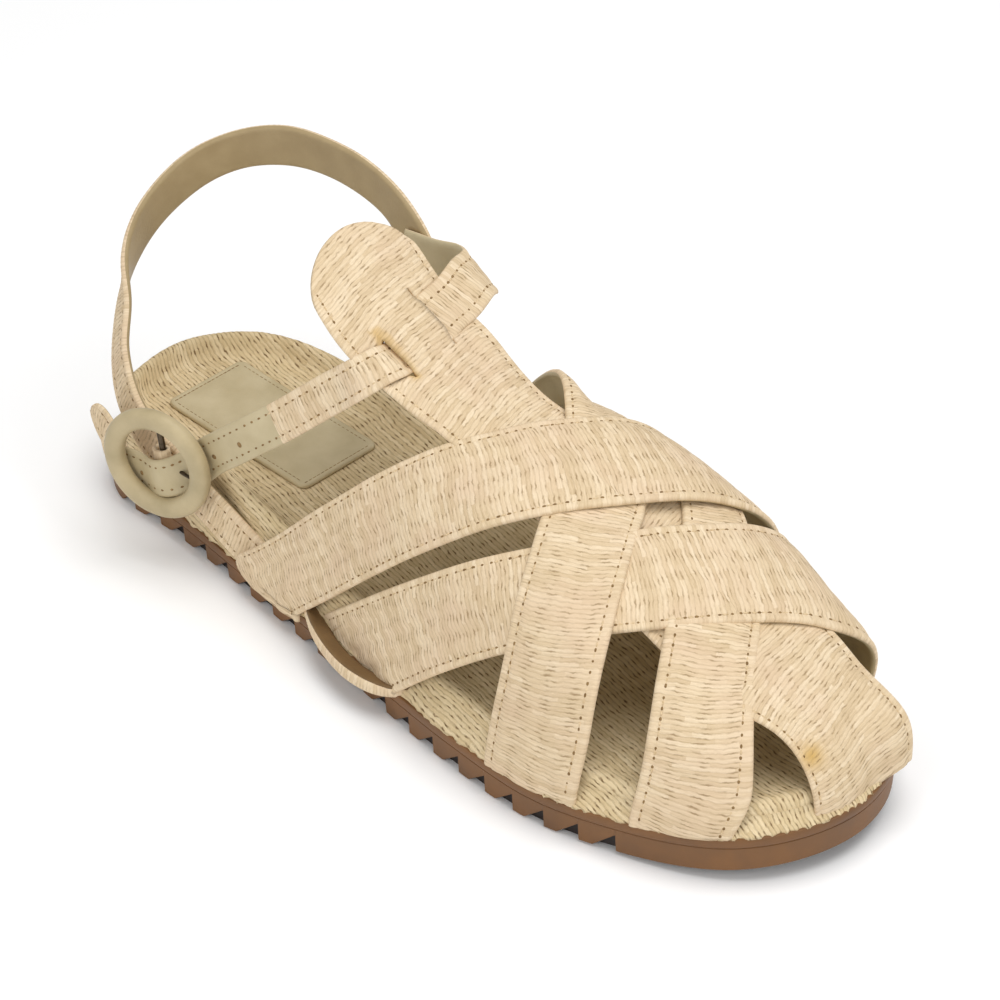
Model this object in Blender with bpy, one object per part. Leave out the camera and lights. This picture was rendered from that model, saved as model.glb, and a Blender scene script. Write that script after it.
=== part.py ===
"""A raffia sandal for the right foot: rubber outsole, raffia footbed, woven strap upper, heel sling, ankle strap, buckle.

Tables are in millimetres: x runs from the back of the heel to the toe, y to the inner side of the foot and z up from
the floor.  MM turns them into metres where a mesh is made.
"""
import math

import bpy
import numpy as np

MM = 0.001
GAP = 0.3

# Sole
SOLE_LENGTH = 258.0
# Half widths of the outsole on the outer and the inner side of the foot
OUTLINE = (
    # x, outer, inner
    (15.0, 29.5, 28.5),
    (40.0, 30.8, 36.0),
    (80.0, 36.0, 34.0),
    (120.0, 42.0, 36.0),
    (160.0, 47.8, 43.0),
    (190.0, 49.0, 45.0),
    (215.0, 43.5, 41.5),
    (240.0, 33.0, 32.5),
)
# Height of the rubber's upper face, of the footbed's rim and of its floor, before the toe springs up
HEIGHTS = (
    # x, rubber, rim, floor
    (0.0, 8.5, 29.5, 26.0),
    (35.0, 8.5, 29.5, 24.5),
    (75.0, 8.5, 27.0, 23.5),
    (110.0, 9.2, 24.0, 22.0),
    (150.0, 10.4, 20.5, 19.5),
    (200.0, 10.6, 18.6, 18.0),
    (258.0, 10.6, 18.0, 17.6),
)
TOE_SPRING = 6.0
TOE_SPRING_START = 185.0
HEEL_SPRING = 1.5
HEEL_SPRING_END = 14.0
RIM_STEP_DROP = 3.2
# Tread: slanted notches right across, each with an upright front wall
NOTCH_COUNT = 20
NOTCH_PITCH = 10.1
NOTCH_FIRST = 23.0
NOTCH_LENGTH = 4.6
NOTCH_DEPTH = 4.0
NOTCH_WALL = 0.25
SOLE_STATIONS = 44
# Insets from the outsole's edge
STRAP_INSET = 2.6
FOOTBED_INSET = 4.3

# Leather patch on the footbed
PATCH_CENTRE = (46.5, 0.4)
PATCH_SIZE = (54.0, 28.0)
PATCH_CORNER = 2.5
PATCH_THICKNESS = 1.0

# Upper
STRAP_THICKNESS = 2.4
STRIP_THICKNESS = 2.0
WEAVE_STEP = 0.45
# Fuller than an ellipse, which has 2, and more so on the inner side of the foot
OUTER_FULLNESS = 2.15
INNER_FULLNESS = (
    # x, fullness
    (70.0, 2.15),
    (105.0, 2.6),
    (140.0, 3.1),
    (175.0, 3.0),
    (210.0, 2.75),
    (245.0, 2.65),
)
CREST = (
    # x, height of the lowest strap's middle above the floor
    (40.0, 36.0),
    (60.0, 46.0),
    (100.0, 66.0),
    (140.0, 70.0),
    (180.0, 63.5),
    (215.0, 52.0),
    (240.0, 41.5),
)
# A strap's rear and front edges, where they meet the outer and inner sole edge, and how far they bow to the toe
STRAPS = (
    # name, rear outer, rear inner, rear bow, front outer, front inner, front bow
    ("strap_a", 67.5, 157.0, 26.5, 103.6, 192.7, 29.0),
    ("strap_b", 104.8, 190.0, 39.0, 135.5, 235.0, 31.0),
    ("strap_d", 175.1, 76.5, 28.9, 203.7, 101.5, 30.0),
    ("strap_e", 218.1, 110.7, 30.8, 242.0, 136.6, 33.1),
)
# How many steps each strap lies above the centre strip where they cross
LEVELS = {"strap_e": 1, "strap_b": 2, "strap_d": 3, "strap_a": 4}
STRAP_SEGMENTS = 26
STRAP_COLUMNS = 5

# Centre strip: its edges to the outer and the inner side
STRIP_EDGES = (
    # x, outer, inner
    (72.0, 18.0, 18.0),
    (108.0, 18.5, 18.5),
    (130.0, 16.0, 16.0),
    (165.0, 17.0, 17.0),
    (200.0, 19.5, 19.0),
    (230.0, 16.0, 20.5),
    (258.0, 10.8, 18.5),
)
# Its tongue stands up behind the straps
TONGUE_RISE = (
    # x, middle height
    (72.0, 105.0),
    (83.0, 96.5),
    (93.0, 88.5),
    (112.0, 79.0),
    (131.0, 73.0),
    (150.0, 69.5),
    (170.0, 65.5),
)
TONGUE_TIP = 76.0
TONGUE_ROUNDING = 12.0
TONGUE_EDGE_DROP = 2.5
TONGUE_MEETS_LAST = (126.0, 150.0)
# Slots for the ankle strap, and the band between them, which arches over the strap
SLOT_ROWS = (94.0, 110.5)
SLOT_INNER_EDGE = 8.4
SLOT_OUTER_EDGE = 10.0
BAND_RISE = 5.0
BAND_FADE = 10.0
TOE_BAR_START = 228.0
# The inner corner of its front end stands off the sole's edge
CORNER_FLARE = (5.0, 4.0, 2.0)
CORNER_FLARE_RANGE = (4.0, 20.0)

# Heel sling, from the outer sole edge round the heel to the inner one, with the way its outer face looks
SLING_WIDTH = 12.0
SLING_THICKNESS = 2.4
SLING_PATH = (
    # x, y, z, face x, face y, face z
    (67.0, -31.4, 15.6, -0.17, -0.98, 0.0),
    (60.0, -32.0, 18.6, -0.10, -0.99, 0.10),
    (52.0, -32.2, 22.8, -0.06, -0.99, 0.15),
    (43.5, -32.2, 28.2, -0.12, -0.98, 0.10),
    (34.0, -31.2, 32.6, -0.30, -0.94, 0.10),
    (24.0, -28.6, 37.0, -0.45, -0.88, 0.10),
    (14.0, -24.0, 43.0, -0.62, -0.77, 0.10),
    (6.0, -17.0, 52.0, -0.80, -0.58, 0.10),
    (1.2, -8.0, 62.5, -0.95, -0.28, 0.05),
    (0.2, 2.0, 72.5, -1.0, 0.0, 0.0),
    (3.5, 14.5, 81.0, -0.90, 0.42, 0.0),
    (11.0, 25.0, 86.0, -0.68, 0.73, 0.0),
    (21.0, 31.0, 89.0, -0.40, 0.91, 0.0),
    (36.0, 35.2, 89.5, -0.10, 0.99, 0.0),
    (50.0, 35.6, 88.0, 0.02, 1.0, 0.0),
    (62.0, 35.2, 83.5, 0.05, 1.0, 0.0),
    (69.5, 35.2, 75.0, 0.05, 1.0, 0.0),
    (71.5, 35.4, 63.0, 0.05, 1.0, 0.0),
    (70.0, 35.4, 48.0, 0.05, 1.0, 0.0),
    (68.0, 34.2, 32.0, 0.05, 1.0, 0.05),
    (66.5, 32.3, 17.6, 0.05, 1.0, 0.10),
)
SLING_SPACING = 4.5

# Ring buckle, on the outer side, and the strap that lies through it
RING_CENTRE = (46.4, -41.0, 33.5)
RING_FACE = (0.25, -0.967, 0.03)
RING_RUN = (-0.955, -0.245, -0.17)
RING_OUTER_RADIUS = 16.4
RING_INNER_RADIUS = 10.6
RING_THICKNESS = 4.6
RING_SEGMENTS = 36
RING_SECTION_POINTS = 10
RING_SECTION_FULLNESS = 2.6
BAR_RADIUS = 0.9
BAR_HALF_LENGTH = 12.5
BAR_DEPTH = -3.5
BAR_SIDES = 12
STRAP_SIT = -2.0

# Ankle strap, from the inside of the heel sling over the tongue to the buckle
ANKLE_WIDTH = 12.6
ANKLE_THICKNESS = 1.6
ANKLE_LIFT = 2.3
ANKLE_PATH_INNER = (
    # x, y, z, face x, face y, face z
    (67.0, 32.7, 77.4, 0.05, 1.0, 0.0),
    (80.0, 32.1, 79.2, 0.06, 1.0, 0.02),
    (89.5, 31.4, 80.6, 0.35, 0.93, 0.10),
    (96.5, 28.2, 82.0, 0.68, 0.66, 0.32),
    (100.0, 23.0, 83.6, 0.58, 0.38, 0.72),
)
# Where it lies on the tongue
ANKLE_TONGUE = (
    # x, y
    (101.2, 16.0),
    (101.8, 9.2),
    (102.4, 0.0),
    (103.0, -9.2),
    (102.8, -14.5),
)
ANKLE_PATH_OUTER = (
    (101.8, -20.3, 82.9, 0.44, -0.50, 0.75),
    (96.5, -23.2, 75.6, 0.36, -0.76, 0.54),
    (81.5, -29.5, 56.5, 0.28, -0.88, 0.38),
    (68.0, -33.6, 43.5, 0.26, -0.94, 0.20),
)
ANKLE_BULGE = 2.95
ANKLE_BULGE_REACH = 6.2
ANKLE_BEHIND_RIM = -3.45
ANKLE_RING_ROWS = (-13.5, -10.6, -8.0, -6.2, -4.8, -3.4, -1.9, 0.0, 1.9, 3.4, 4.8, 6.2, 10.0, 13.5)
ANKLE_TAIL = (
    (23.0, -38.6, 29.6, -0.15, -0.98, 0.05),
    (13.5, -34.6, 31.0, -0.40, -0.91, 0.05),
)
ANKLE_SPACING = 3.0
PRONG_HOLE = (-8.1, -1.8)
PRONG_HOLE_HALF_WIDTH = 1.25

# Loop of strap round the bar, seen across the ring: along the run and out of its face
LOOP_THICKNESS = 0.8
LOOP_RADIUS = 1.5
LOOP_LEG = 3.2
LOOP_WIDTH = 11.0
LOOP_BEND_STEPS = 8
LOOP_LEG_DIP = 1.5

# Prong, from the bar up through the strap to the ring's inner edge: along the run and out of its face
PRONG_PATH = (
    # along, out
    (-1.4, -3.5),
    (-4.4, -2.7),
    (-7.4, -1.3),
    (-9.6, -0.4),
)
PRONG_RADIUS = 0.7
PRONG_SIDES = 8

COLOURS = {
    # material, red, green, blue, roughness, metallic
    "rubber": (0.26, 0.13, 0.07, 0.65, 0.0),
    "raffia": (0.69, 0.55, 0.36, 0.85, 0.0),
    "raffia_footbed": (0.62, 0.49, 0.28, 0.88, 0.0),
    "leather": (0.45, 0.39, 0.25, 0.60, 0.0),
    "metal": (0.06, 0.05, 0.04, 0.40, 1.0),
}


def smooth(places, values, at):
    """A smooth curve through a table's rows; values may have several columns."""
    places = np.asarray(places, float)
    values = np.asarray(values, float)
    at = np.asarray(at, float)
    slopes = np.gradient(values, places, axis=0)
    row = np.clip(np.searchsorted(places, at) - 1, 0, len(places) - 2)
    step = places[row + 1] - places[row]
    u = np.clip((at - places[row]) / step, 0.0, 1.0)
    if values.ndim > 1:
        step = step[..., None]
        u = u[..., None]
    start = values[row] * (1 + 2 * u) * (1 - u) ** 2 + slopes[row] * step * u * (1 - u) ** 2
    end = values[row + 1] * u * u * (3 - 2 * u) + slopes[row + 1] * step * u * u * (u - 1)
    return start + end


def ease(low, high, at):
    """0 below low, 1 above high, with soft ends."""
    u = np.clip((np.asarray(at, float) - low) / (high - low), 0.0, 1.0)
    return u * u * (3 - 2 * u)


def unit(vectors):
    vectors = np.asarray(vectors, float)
    return vectors / np.linalg.norm(vectors, axis=-1, keepdims=True)


def column(table, number):
    return np.array([row[number] for row in table], float)


def along_share(x):
    """Place along the sole as the share of a half turn, so that curves over it end round at heel and toe."""
    return np.arccos(np.clip(1 - 2 * np.asarray(x, float) / SOLE_LENGTH, -1.0, 1.0)) / math.pi


def half_width(x, side):
    """Half width of the outsole at x; side is 1 for the outer side and 2 for the inner one."""
    places = along_share(np.concatenate(([0.0], column(OUTLINE, 0), [SOLE_LENGTH])))
    widths = np.concatenate(([0.0], column(OUTLINE, side), [0.0]))
    return smooth(places, widths, along_share(x))


def spring(x):
    """How far the sole lifts off the floor at the toe and the heel."""
    x = np.asarray(x, float)
    toe = TOE_SPRING * np.clip((x - TOE_SPRING_START) / (SOLE_LENGTH - TOE_SPRING_START), 0.0, 1.0) ** 2
    heel = HEEL_SPRING * np.clip((HEEL_SPRING_END - x) / HEEL_SPRING_END, 0.0, 1.0) ** 2
    return toe + heel


def rubber_top(x):
    return smooth(column(HEIGHTS, 0), column(HEIGHTS, 1), x) + spring(x)


def footbed_rim(x):
    return smooth(column(HEIGHTS, 0), column(HEIGHTS, 2), x) + spring(x)


def footbed_floor(x):
    return smooth(column(HEIGHTS, 0), column(HEIGHTS, 3), x) + spring(x)


def sole_stations(count):
    """Stations from heel to toe, close together at both round ends."""
    return SOLE_LENGTH * (1 - np.cos(np.linspace(0.0, math.pi, count))) / 2


def edge_loop(inset, stations):
    """The outline moved inward: heel point, outer side, toe point, inner side."""
    outer = np.stack([stations, -half_width(stations, 1)], axis=1)
    inner = np.stack([stations, half_width(stations, 2)], axis=1)
    loop = np.concatenate([outer, inner[-2:0:-1]])
    forward = unit(np.roll(loop, -1, axis=0) - loop)
    tangent = unit(forward + np.roll(forward, 1, axis=0))
    inward = np.stack([-tangent[:, 1], tangent[:, 0]], axis=1)
    return loop + inset * inward


def make_material(name):
    red, green, blue, roughness, metallic = COLOURS[name]
    material = bpy.data.materials.get(name) or bpy.data.materials.new(name)
    material.use_nodes = True
    shader = material.node_tree.nodes["Principled BSDF"]
    shader.inputs["Base Color"].default_value = (red, green, blue, 1.0)
    shader.inputs["Roughness"].default_value = roughness
    shader.inputs["Metallic"].default_value = metallic
    return material


def add_piece(name, points, faces, material, parent):
    """A mesh object from points in millimetres."""
    mesh = bpy.data.meshes.new(name)
    mesh.from_pydata([tuple(MM * value for value in point) for point in points], [], faces)
    mesh.validate()
    mesh.materials.append(make_material(material))
    mesh.shade_smooth()
    mesh.set_sharp_from_angle(angle=math.radians(35))
    piece = bpy.data.objects.new(name, mesh)
    bpy.context.scene.collection.objects.link(piece)
    piece.parent = parent
    return piece


def stacked_loops(loops):
    """A closed solid between loops of equal length, from the lowest up; its ends join outer and inner side."""
    count = len(loops[0])
    half = count // 2
    points = np.concatenate(loops)
    faces = []
    for level in range(len(loops) - 1):
        low = level * count
        high = low + count
        for i in range(count):
            j = (i + 1) % count
            faces.append((low + i, low + j, high + j, high + i))
    top = (len(loops) - 1) * count
    for i in range(half):
        outer, outer_next = i, i + 1
        inner, inner_next = (count - i) % count, count - i - 1
        strip = [outer, outer_next, inner_next, inner]
        strip = [corner for number, corner in enumerate(strip) if corner not in strip[:number]]
        faces.append(tuple(top + corner for corner in strip))
        faces.append(tuple(reversed(strip)))
    return points, faces


def level_loop(inset, stations, height):
    """A loop of the outline at the height that its place along the sole gives."""
    flat = edge_loop(inset, stations)
    return np.column_stack([flat, height(flat[:, 0])])


def tread_loop(inset, stations, heights):
    """A loop of the outline along the tread, with one height for each station."""
    return np.column_stack([edge_loop(inset, stations), np.concatenate([heights, heights[-2:0:-1]])])


def thick_sheet(middle, thickness, keep=None):
    """A closed wall round a sheet of points, with holes where keep is false."""
    along = np.gradient(middle, axis=0)
    across = np.gradient(middle, axis=1)
    face = unit(np.cross(along, across))
    skins = (middle + face * thickness / 2, middle - face * thickness / 2)
    rows, columns = middle.shape[:2]
    if keep is None:
        keep = np.ones((rows - 1, columns - 1), bool)
    numbers = {}
    points = []

    def corner(skin, i, j):
        if (skin, i, j) not in numbers:
            numbers[skin, i, j] = len(points)
            points.append(skins[skin][i, j])
        return numbers[skin, i, j]

    def kept(i, j):
        return 0 <= i < rows - 1 and 0 <= j < columns - 1 and keep[i, j]

    faces = []

    def add_halves(first, second, third, fourth):
        faces.append((first, second, third))
        faces.append((first, third, fourth))

    for i in range(rows - 1):
        for j in range(columns - 1):
            if not keep[i, j]:
                continue
            ring = [(i, j), (i + 1, j), (i + 1, j + 1), (i, j + 1)]
            add_halves(*(corner(0, *place) for place in ring))
            add_halves(*(corner(1, *place) for place in reversed(ring)))
            beyond = [(i, j - 1), (i + 1, j), (i, j + 1), (i - 1, j)]
            for side in range(4):
                if kept(*beyond[side]):
                    continue
                start, end = ring[side], ring[(side + 1) % 4]
                add_halves(corner(0, *end), corner(0, *start), corner(1, *start), corner(1, *end))
    return np.array(points), faces


def ribbon_sheet(path, spacing, offsets):
    """The middle sheet of a strap along a path whose rows hold a point and the way its outer face looks."""
    path = np.asarray(path, float)
    steps = np.linalg.norm(np.diff(path[:, :3], axis=0), axis=1)
    length = np.concatenate(([0.0], np.cumsum(steps)))
    stations = [length[:1]]
    for start, end, step in zip(length[:-1], length[1:], steps):
        stations.append(np.linspace(start, end, max(round(step / spacing), 1) + 1)[1:])
    rows = smooth(length, path, np.concatenate(stations))
    centre = rows[:, :3]
    run = unit(np.gradient(centre, axis=0))
    face = rows[:, 3:]
    face = unit(face - run * np.sum(face * run, axis=1, keepdims=True))
    up = np.cross(run, face)
    return centre[:, None, :] + up[:, None, :] * np.asarray(offsets, float)[None, :, None]


def edge_offsets(width, columns):
    return np.linspace(width / 2, -width / 2, columns)


# The surface that the straps lie on
FINE_STATIONS = sole_stations(400)
STRAP_LOOP = edge_loop(STRAP_INSET, FINE_STATIONS)
STRAP_OUTER = STRAP_LOOP[:400]
STRAP_INNER = np.concatenate([STRAP_LOOP[399:], STRAP_LOOP[:1]])[::-1]
LAST_END = STRAP_OUTER[-1, 0]


def last_half_width(x, y_sign):
    outer = np.interp(x, STRAP_OUTER[:, 0], -STRAP_OUTER[:, 1])
    inner = np.interp(x, STRAP_INNER[:, 0], STRAP_INNER[:, 1])
    return np.where(y_sign < 0, outer, inner)


def crest_height(x):
    places = along_share(np.append(column(CREST, 0), SOLE_LENGTH))
    base = rubber_top(column(CREST, 0))
    heights = np.append(column(CREST, 1) - base, 0.0)
    share = along_share(np.asarray(x, float) * SOLE_LENGTH / LAST_END)
    return np.maximum(smooth(places, heights, share), 0.0)


def fullness(x, y_sign):
    inner = smooth(column(INNER_FULLNESS, 0), column(INNER_FULLNESS, 1), x)
    return np.where(y_sign > 0, inner, OUTER_FULLNESS)


def last_point(x, turn, lift):
    """A point of the last: turn goes from -1 at the outer sole edge over the crest to 1 at the inner one."""
    share = np.abs(np.sin(turn * math.pi / 2)) ** (2 / OUTER_FULLNESS)
    full = fullness(x, turn)
    rise = np.maximum(1 - share ** full, 0.0) ** (1 / full)
    y = (last_half_width(x, turn) + lift) * np.sign(turn) * share
    z = rubber_top(x) + GAP + (crest_height(x) + lift) * rise
    return np.stack([x, y, z], axis=-1)


def last_height(x, y):
    """Height of the last over a point of the floor."""
    width = np.maximum(last_half_width(x, y), 0.01)
    share = np.clip(np.abs(y) / width, 0.0, 1.0)
    full = fullness(x, y)
    rise = (1 - share ** full) ** (1 / full)
    return rubber_top(x) + GAP + crest_height(x) * rise


def strap_sheet(row):
    """One strap of the weave, from the outer to the inner sole edge, lifted over the straps below it."""
    name, rear_outer, rear_inner, rear_bow, front_outer, front_inner, front_bow = row
    turn = np.linspace(-1.0, 1.0, STRAP_SEGMENTS + 1)[:, None]
    share = np.linspace(0.0, 1.0, STRAP_COLUMNS)[None, :]
    rear = rear_outer + (rear_inner - rear_outer) * (turn + 1) / 2 + rear_bow * (1 - turn ** 2)
    front = front_outer + (front_inner - front_outer) * (turn + 1) / 2 + front_bow * (1 - turn ** 2)
    x = front + (rear - front) * share
    lift = WEAVE_STEP * LEVELS[name] * (1 - turn ** 6) + 0.0 * x
    return last_point(x, turn + 0.0 * x, lift)


def toe_end(y):
    """Where a lengthwise line at y meets the strap line round the toe."""
    side = STRAP_OUTER if y < 0 else STRAP_INNER
    front = side[side[:, 0] > TOE_BAR_START]
    return float(np.interp(-abs(y), -np.abs(front[:, 1]), front[:, 0]))


def tongue_height(x, y, half):
    return smooth(column(TONGUE_RISE, 0), column(TONGUE_RISE, 1), x) - TONGUE_EDGE_DROP * (y / half) ** 2


def strip_half(x, y_sign):
    outer = smooth(column(STRIP_EDGES, 0), column(STRIP_EDGES, 1), x)
    inner = smooth(column(STRIP_EDGES, 0), column(STRIP_EDGES, 2), x)
    return np.where(y_sign < 0, outer, inner)


def strip_height(x, y):
    """Height of the centre strip: the tongue's own rise behind the straps, the last under and before them."""
    on_last = ease(*TONGUE_MEETS_LAST, x)
    return (1 - on_last) * tongue_height(x, y, strip_half(x, y)) + on_last * last_height(x, y)


def band_rise(x):
    """How far the band between the slots arches up over the ankle strap."""
    first, last = SLOT_ROWS
    return BAND_RISE * ease(first - BAND_FADE, first, x) * (1 - ease(last, last + BAND_FADE, x))


def strip_sheet():
    """The centre strip from the tongue's round tip to the toe, with the cells of the two slots left out."""
    slot_share = SLOT_INNER_EDGE / 18.5, SLOT_OUTER_EDGE / 18.5
    half_shares = (1.0, 0.86, 0.70, slot_share[1], slot_share[0], 0.2)
    shares = [-share for share in half_shares] + [share for share in reversed(half_shares)]
    first_slot, last_slot = SLOT_ROWS
    body_rows = [91.0, first_slot, 98.0, 102.0, 106.5, last_slot, 114.0, 118.0, 123.0, 129.0, 136.0]
    body_rows += list(np.linspace(144.0, TOE_BAR_START, 13))
    sheet = []
    for share in shares:
        sign = math.copysign(1.0, share)
        tip = TONGUE_TIP + TONGUE_ROUNDING * (1 - math.sqrt(max(1 - share * share, 0.0)))
        rows = list(np.linspace(tip, body_rows[0], 5)[:-1]) + body_rows
        edge = float(strip_half(250.0, sign)) * share
        end = toe_end(sign * abs(edge))
        rows += [TOE_BAR_START + (end - TOE_BAR_START) * math.sin(math.pi / 2 * k / 9) for k in range(1, 10)]
        x = np.array(rows)
        y = share * sign * strip_half(x, sign) * sign
        toe_part = ease(TOE_BAR_START, end, x)
        y = y * (1 - toe_part) + sign * abs(edge) * toe_part
        z = strip_height(x, y)
        if abs(share) <= slot_share[0]:
            z = z + band_rise(x)
        flare = ease(*CORNER_FLARE_RANGE, y) * toe_part
        sheet.append(np.stack([x, y, z], axis=1) + flare[:, None] * np.array(CORNER_FLARE))
    sheet = np.stack(sheet, axis=1)
    slot_rows = (sheet[:-1, 0, 0] >= first_slot - 0.01) & (sheet[1:, 0, 0] <= last_slot + 0.01)
    keep = np.ones((sheet.shape[0] - 1, sheet.shape[1] - 1), bool)
    for slot_column in (3, len(shares) - 5):
        keep[slot_rows, slot_column] = False
    return sheet, keep


# The ring's own directions: along the strap's run, up across it, and out of its face
RING_OUT = unit(RING_FACE)
RING_ALONG = unit(np.array(RING_RUN) - RING_OUT * np.dot(RING_RUN, RING_OUT))
RING_UP = np.cross(RING_ALONG, RING_OUT)


def ring_point(along, up, out):
    return np.array(RING_CENTRE) + along * RING_ALONG + up * RING_UP + out * RING_OUT


def ankle_path():
    """Rows of the ankle strap: inner side, tongue, outer side, buckle and tail."""
    rows = [list(row) for row in ANKLE_PATH_INNER]
    for x, y in ANKLE_TONGUE:
        slope = float(strip_height(x + 1.0, y) - strip_height(x - 1.0, y)) / 2
        tilt = float(strip_height(x, y + 1.0) - strip_height(x, y - 1.0)) / 2
        face = unit([-slope, -tilt, 1.0])
        point = np.array([x, y, float(strip_height(x, y))]) + ANKLE_LIFT * face
        rows.append([*point, *face])
    rows += [list(row) for row in ANKLE_PATH_OUTER]
    for along in ANKLE_RING_ROWS:
        share = min(abs(along) / ANKLE_BULGE_REACH, 1.0)
        out = ANKLE_BEHIND_RIM + ANKLE_BULGE * (0.5 + 0.5 * math.cos(math.pi * share))
        rows.append([*ring_point(along, STRAP_SIT, out), *RING_OUT])
    rows += [list(row) for row in ANKLE_TAIL]
    return rows


def build_outsole(parent):
    notch_points = []
    for number in range(NOTCH_COUNT):
        wall = NOTCH_FIRST + number * NOTCH_PITCH
        notch_points += [(wall - NOTCH_LENGTH, 0.0), (wall, NOTCH_DEPTH), (wall + NOTCH_WALL, 0.0)]
    notch_x = column(notch_points, 0)
    ends = sole_stations(SOLE_STATIONS)
    ends = ends[(ends < notch_x[0] - 1.0) | (ends > notch_x[-1] + 1.0)]
    stations = np.sort(np.concatenate([ends, notch_x]))
    tread = np.interp(stations, notch_x, column(notch_points, 1)) + spring(stations)
    loops = [
        tread_loop(1.6, stations, tread),
        level_loop(0.7, stations, lambda x: rubber_top(x) - RIM_STEP_DROP - 0.4),
        level_loop(0.0, stations, lambda x: rubber_top(x) - RIM_STEP_DROP),
        level_loop(0.4, stations, rubber_top),
    ]
    points, faces = stacked_loops(loops)
    return add_piece("outsole", points, faces, "rubber", parent)


def build_footbed(parent):
    stations = sole_stations(SOLE_STATIONS)
    loops = [
        level_loop(FOOTBED_INSET, stations, lambda x: rubber_top(x) + GAP),
        level_loop(FOOTBED_INSET, stations, lambda x: footbed_rim(x) - 2.6),
        level_loop(FOOTBED_INSET + 0.8, stations, lambda x: footbed_rim(x) - 0.8),
        level_loop(FOOTBED_INSET + 2.6, stations, footbed_rim),
        level_loop(FOOTBED_INSET + 4.6, stations, lambda x: (footbed_rim(x) + 2 * footbed_floor(x)) / 3),
        level_loop(FOOTBED_INSET + 7.0, stations, footbed_floor),
    ]
    points, faces = stacked_loops(loops)
    return add_piece("footbed", points, faces, "raffia_footbed", parent)


def build_patch(parent):
    length, width = PATCH_SIZE
    rows = np.linspace(-length / 2, length / 2, 13)
    side = np.linspace(-1.0, 1.0, 5)
    into_corner = np.maximum(np.abs(rows) - (length / 2 - PATCH_CORNER), 0.0)
    half = width / 2 - PATCH_CORNER + np.sqrt(np.maximum(PATCH_CORNER ** 2 - into_corner ** 2, 0.0))
    x = PATCH_CENTRE[0] + rows[:, None] + 0.0 * side[None, :]
    y = PATCH_CENTRE[1] + half[:, None] * side[None, :]
    z = footbed_floor(x) + GAP + PATCH_THICKNESS / 2
    points, faces = thick_sheet(np.stack([x, y, z], axis=-1), PATCH_THICKNESS)
    return add_piece("footbed_patch", points, faces, "leather", parent)


def build_upper(parent):
    sheet, keep = strip_sheet()
    points, faces = thick_sheet(sheet, STRIP_THICKNESS, keep)
    upper = add_piece("upper", points, faces, "raffia", parent)
    for row in STRAPS:
        points, faces = thick_sheet(strap_sheet(row), STRAP_THICKNESS)
        strap = add_piece(row[0], points, faces, "raffia", parent)
        strap.hide_render = True
        strap.display_type = "WIRE"
        join = upper.modifiers.new(row[0], "BOOLEAN")
        join.operation = "UNION"
        join.object = strap
    return upper


def build_sling(parent):
    sheet = ribbon_sheet(SLING_PATH, SLING_SPACING, edge_offsets(SLING_WIDTH, 4))
    points, faces = thick_sheet(sheet, SLING_THICKNESS)
    return add_piece("heel_strap", points, faces, "raffia", parent)


def build_ankle_strap(parent):
    offsets = (ANKLE_WIDTH / 2, PRONG_HOLE_HALF_WIDTH, -PRONG_HOLE_HALF_WIDTH, -ANKLE_WIDTH / 2)
    sheet = ribbon_sheet(ankle_path(), ANKLE_SPACING, offsets)
    centre = sheet.mean(axis=1) - np.array(RING_CENTRE)
    along = centre @ RING_ALONG
    near = np.linalg.norm(centre, axis=1) < RING_OUTER_RADIUS
    keep = np.ones((sheet.shape[0] - 1, sheet.shape[1] - 1), bool)
    in_hole = near & (along > PRONG_HOLE[0]) & (along < PRONG_HOLE[1])
    keep[in_hole[:-1] & in_hole[1:], 1] = False
    points, faces = thick_sheet(sheet, ANKLE_THICKNESS, keep)
    return add_piece("ankle_strap", points, faces, "raffia", parent)


def build_ring(parent):
    turns = np.linspace(0.0, 2 * math.pi, RING_SEGMENTS, endpoint=False)
    round_section = np.linspace(0.0, 2 * math.pi, RING_SECTION_POINTS, endpoint=False)
    power = 2 / RING_SECTION_FULLNESS
    wide = np.sign(np.cos(round_section)) * np.abs(np.cos(round_section)) ** power
    high = np.sign(np.sin(round_section)) * np.abs(np.sin(round_section)) ** power
    middle = (RING_OUTER_RADIUS + RING_INNER_RADIUS) / 2
    half_band = (RING_OUTER_RADIUS - RING_INNER_RADIUS) / 2
    points = []
    faces = []
    for number, turn in enumerate(turns):
        for section in range(RING_SECTION_POINTS):
            radius = middle + half_band * wide[section]
            out = RING_THICKNESS / 2 * high[section]
            points.append(ring_point(radius * math.cos(turn), radius * math.sin(turn), out))
            here = number * RING_SECTION_POINTS
            there = (number + 1) % RING_SEGMENTS * RING_SECTION_POINTS
            up = (section + 1) % RING_SECTION_POINTS
            faces.append((here + section, here + up, there + up, there + section))
    return add_piece("buckle_ring", points, faces, "leather", parent)


def tube(centre_points, radius, sides, first_axis):
    """A closed tube along points, its section set out from first_axis."""
    centre_points = np.asarray(centre_points, float)
    run = unit(np.gradient(centre_points, axis=0))
    points = []
    faces = []
    for number, (centre, direction) in enumerate(zip(centre_points, run)):
        across = unit(first_axis - direction * np.dot(first_axis, direction))
        other = np.cross(direction, across)
        for side in range(sides):
            turn = 2 * math.pi * side / sides
            points.append(centre + radius * (math.cos(turn) * across + math.sin(turn) * other))
            if number:
                low = (number - 1) * sides
                up = (side + 1) % sides
                faces.append((low + side, low + up, low + sides + up, low + sides + side))
    faces.append(tuple(reversed(range(sides))))
    faces.append(tuple(len(points) - sides + side for side in range(sides)))
    return points, faces


def build_bar(parent):
    ends = [ring_point(0.0, up, BAR_DEPTH) for up in (-BAR_HALF_LENGTH, BAR_HALF_LENGTH)]
    points, faces = tube(ends, BAR_RADIUS, BAR_SIDES, RING_OUT)
    return add_piece("buckle_bar", points, faces, "metal", parent)


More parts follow.
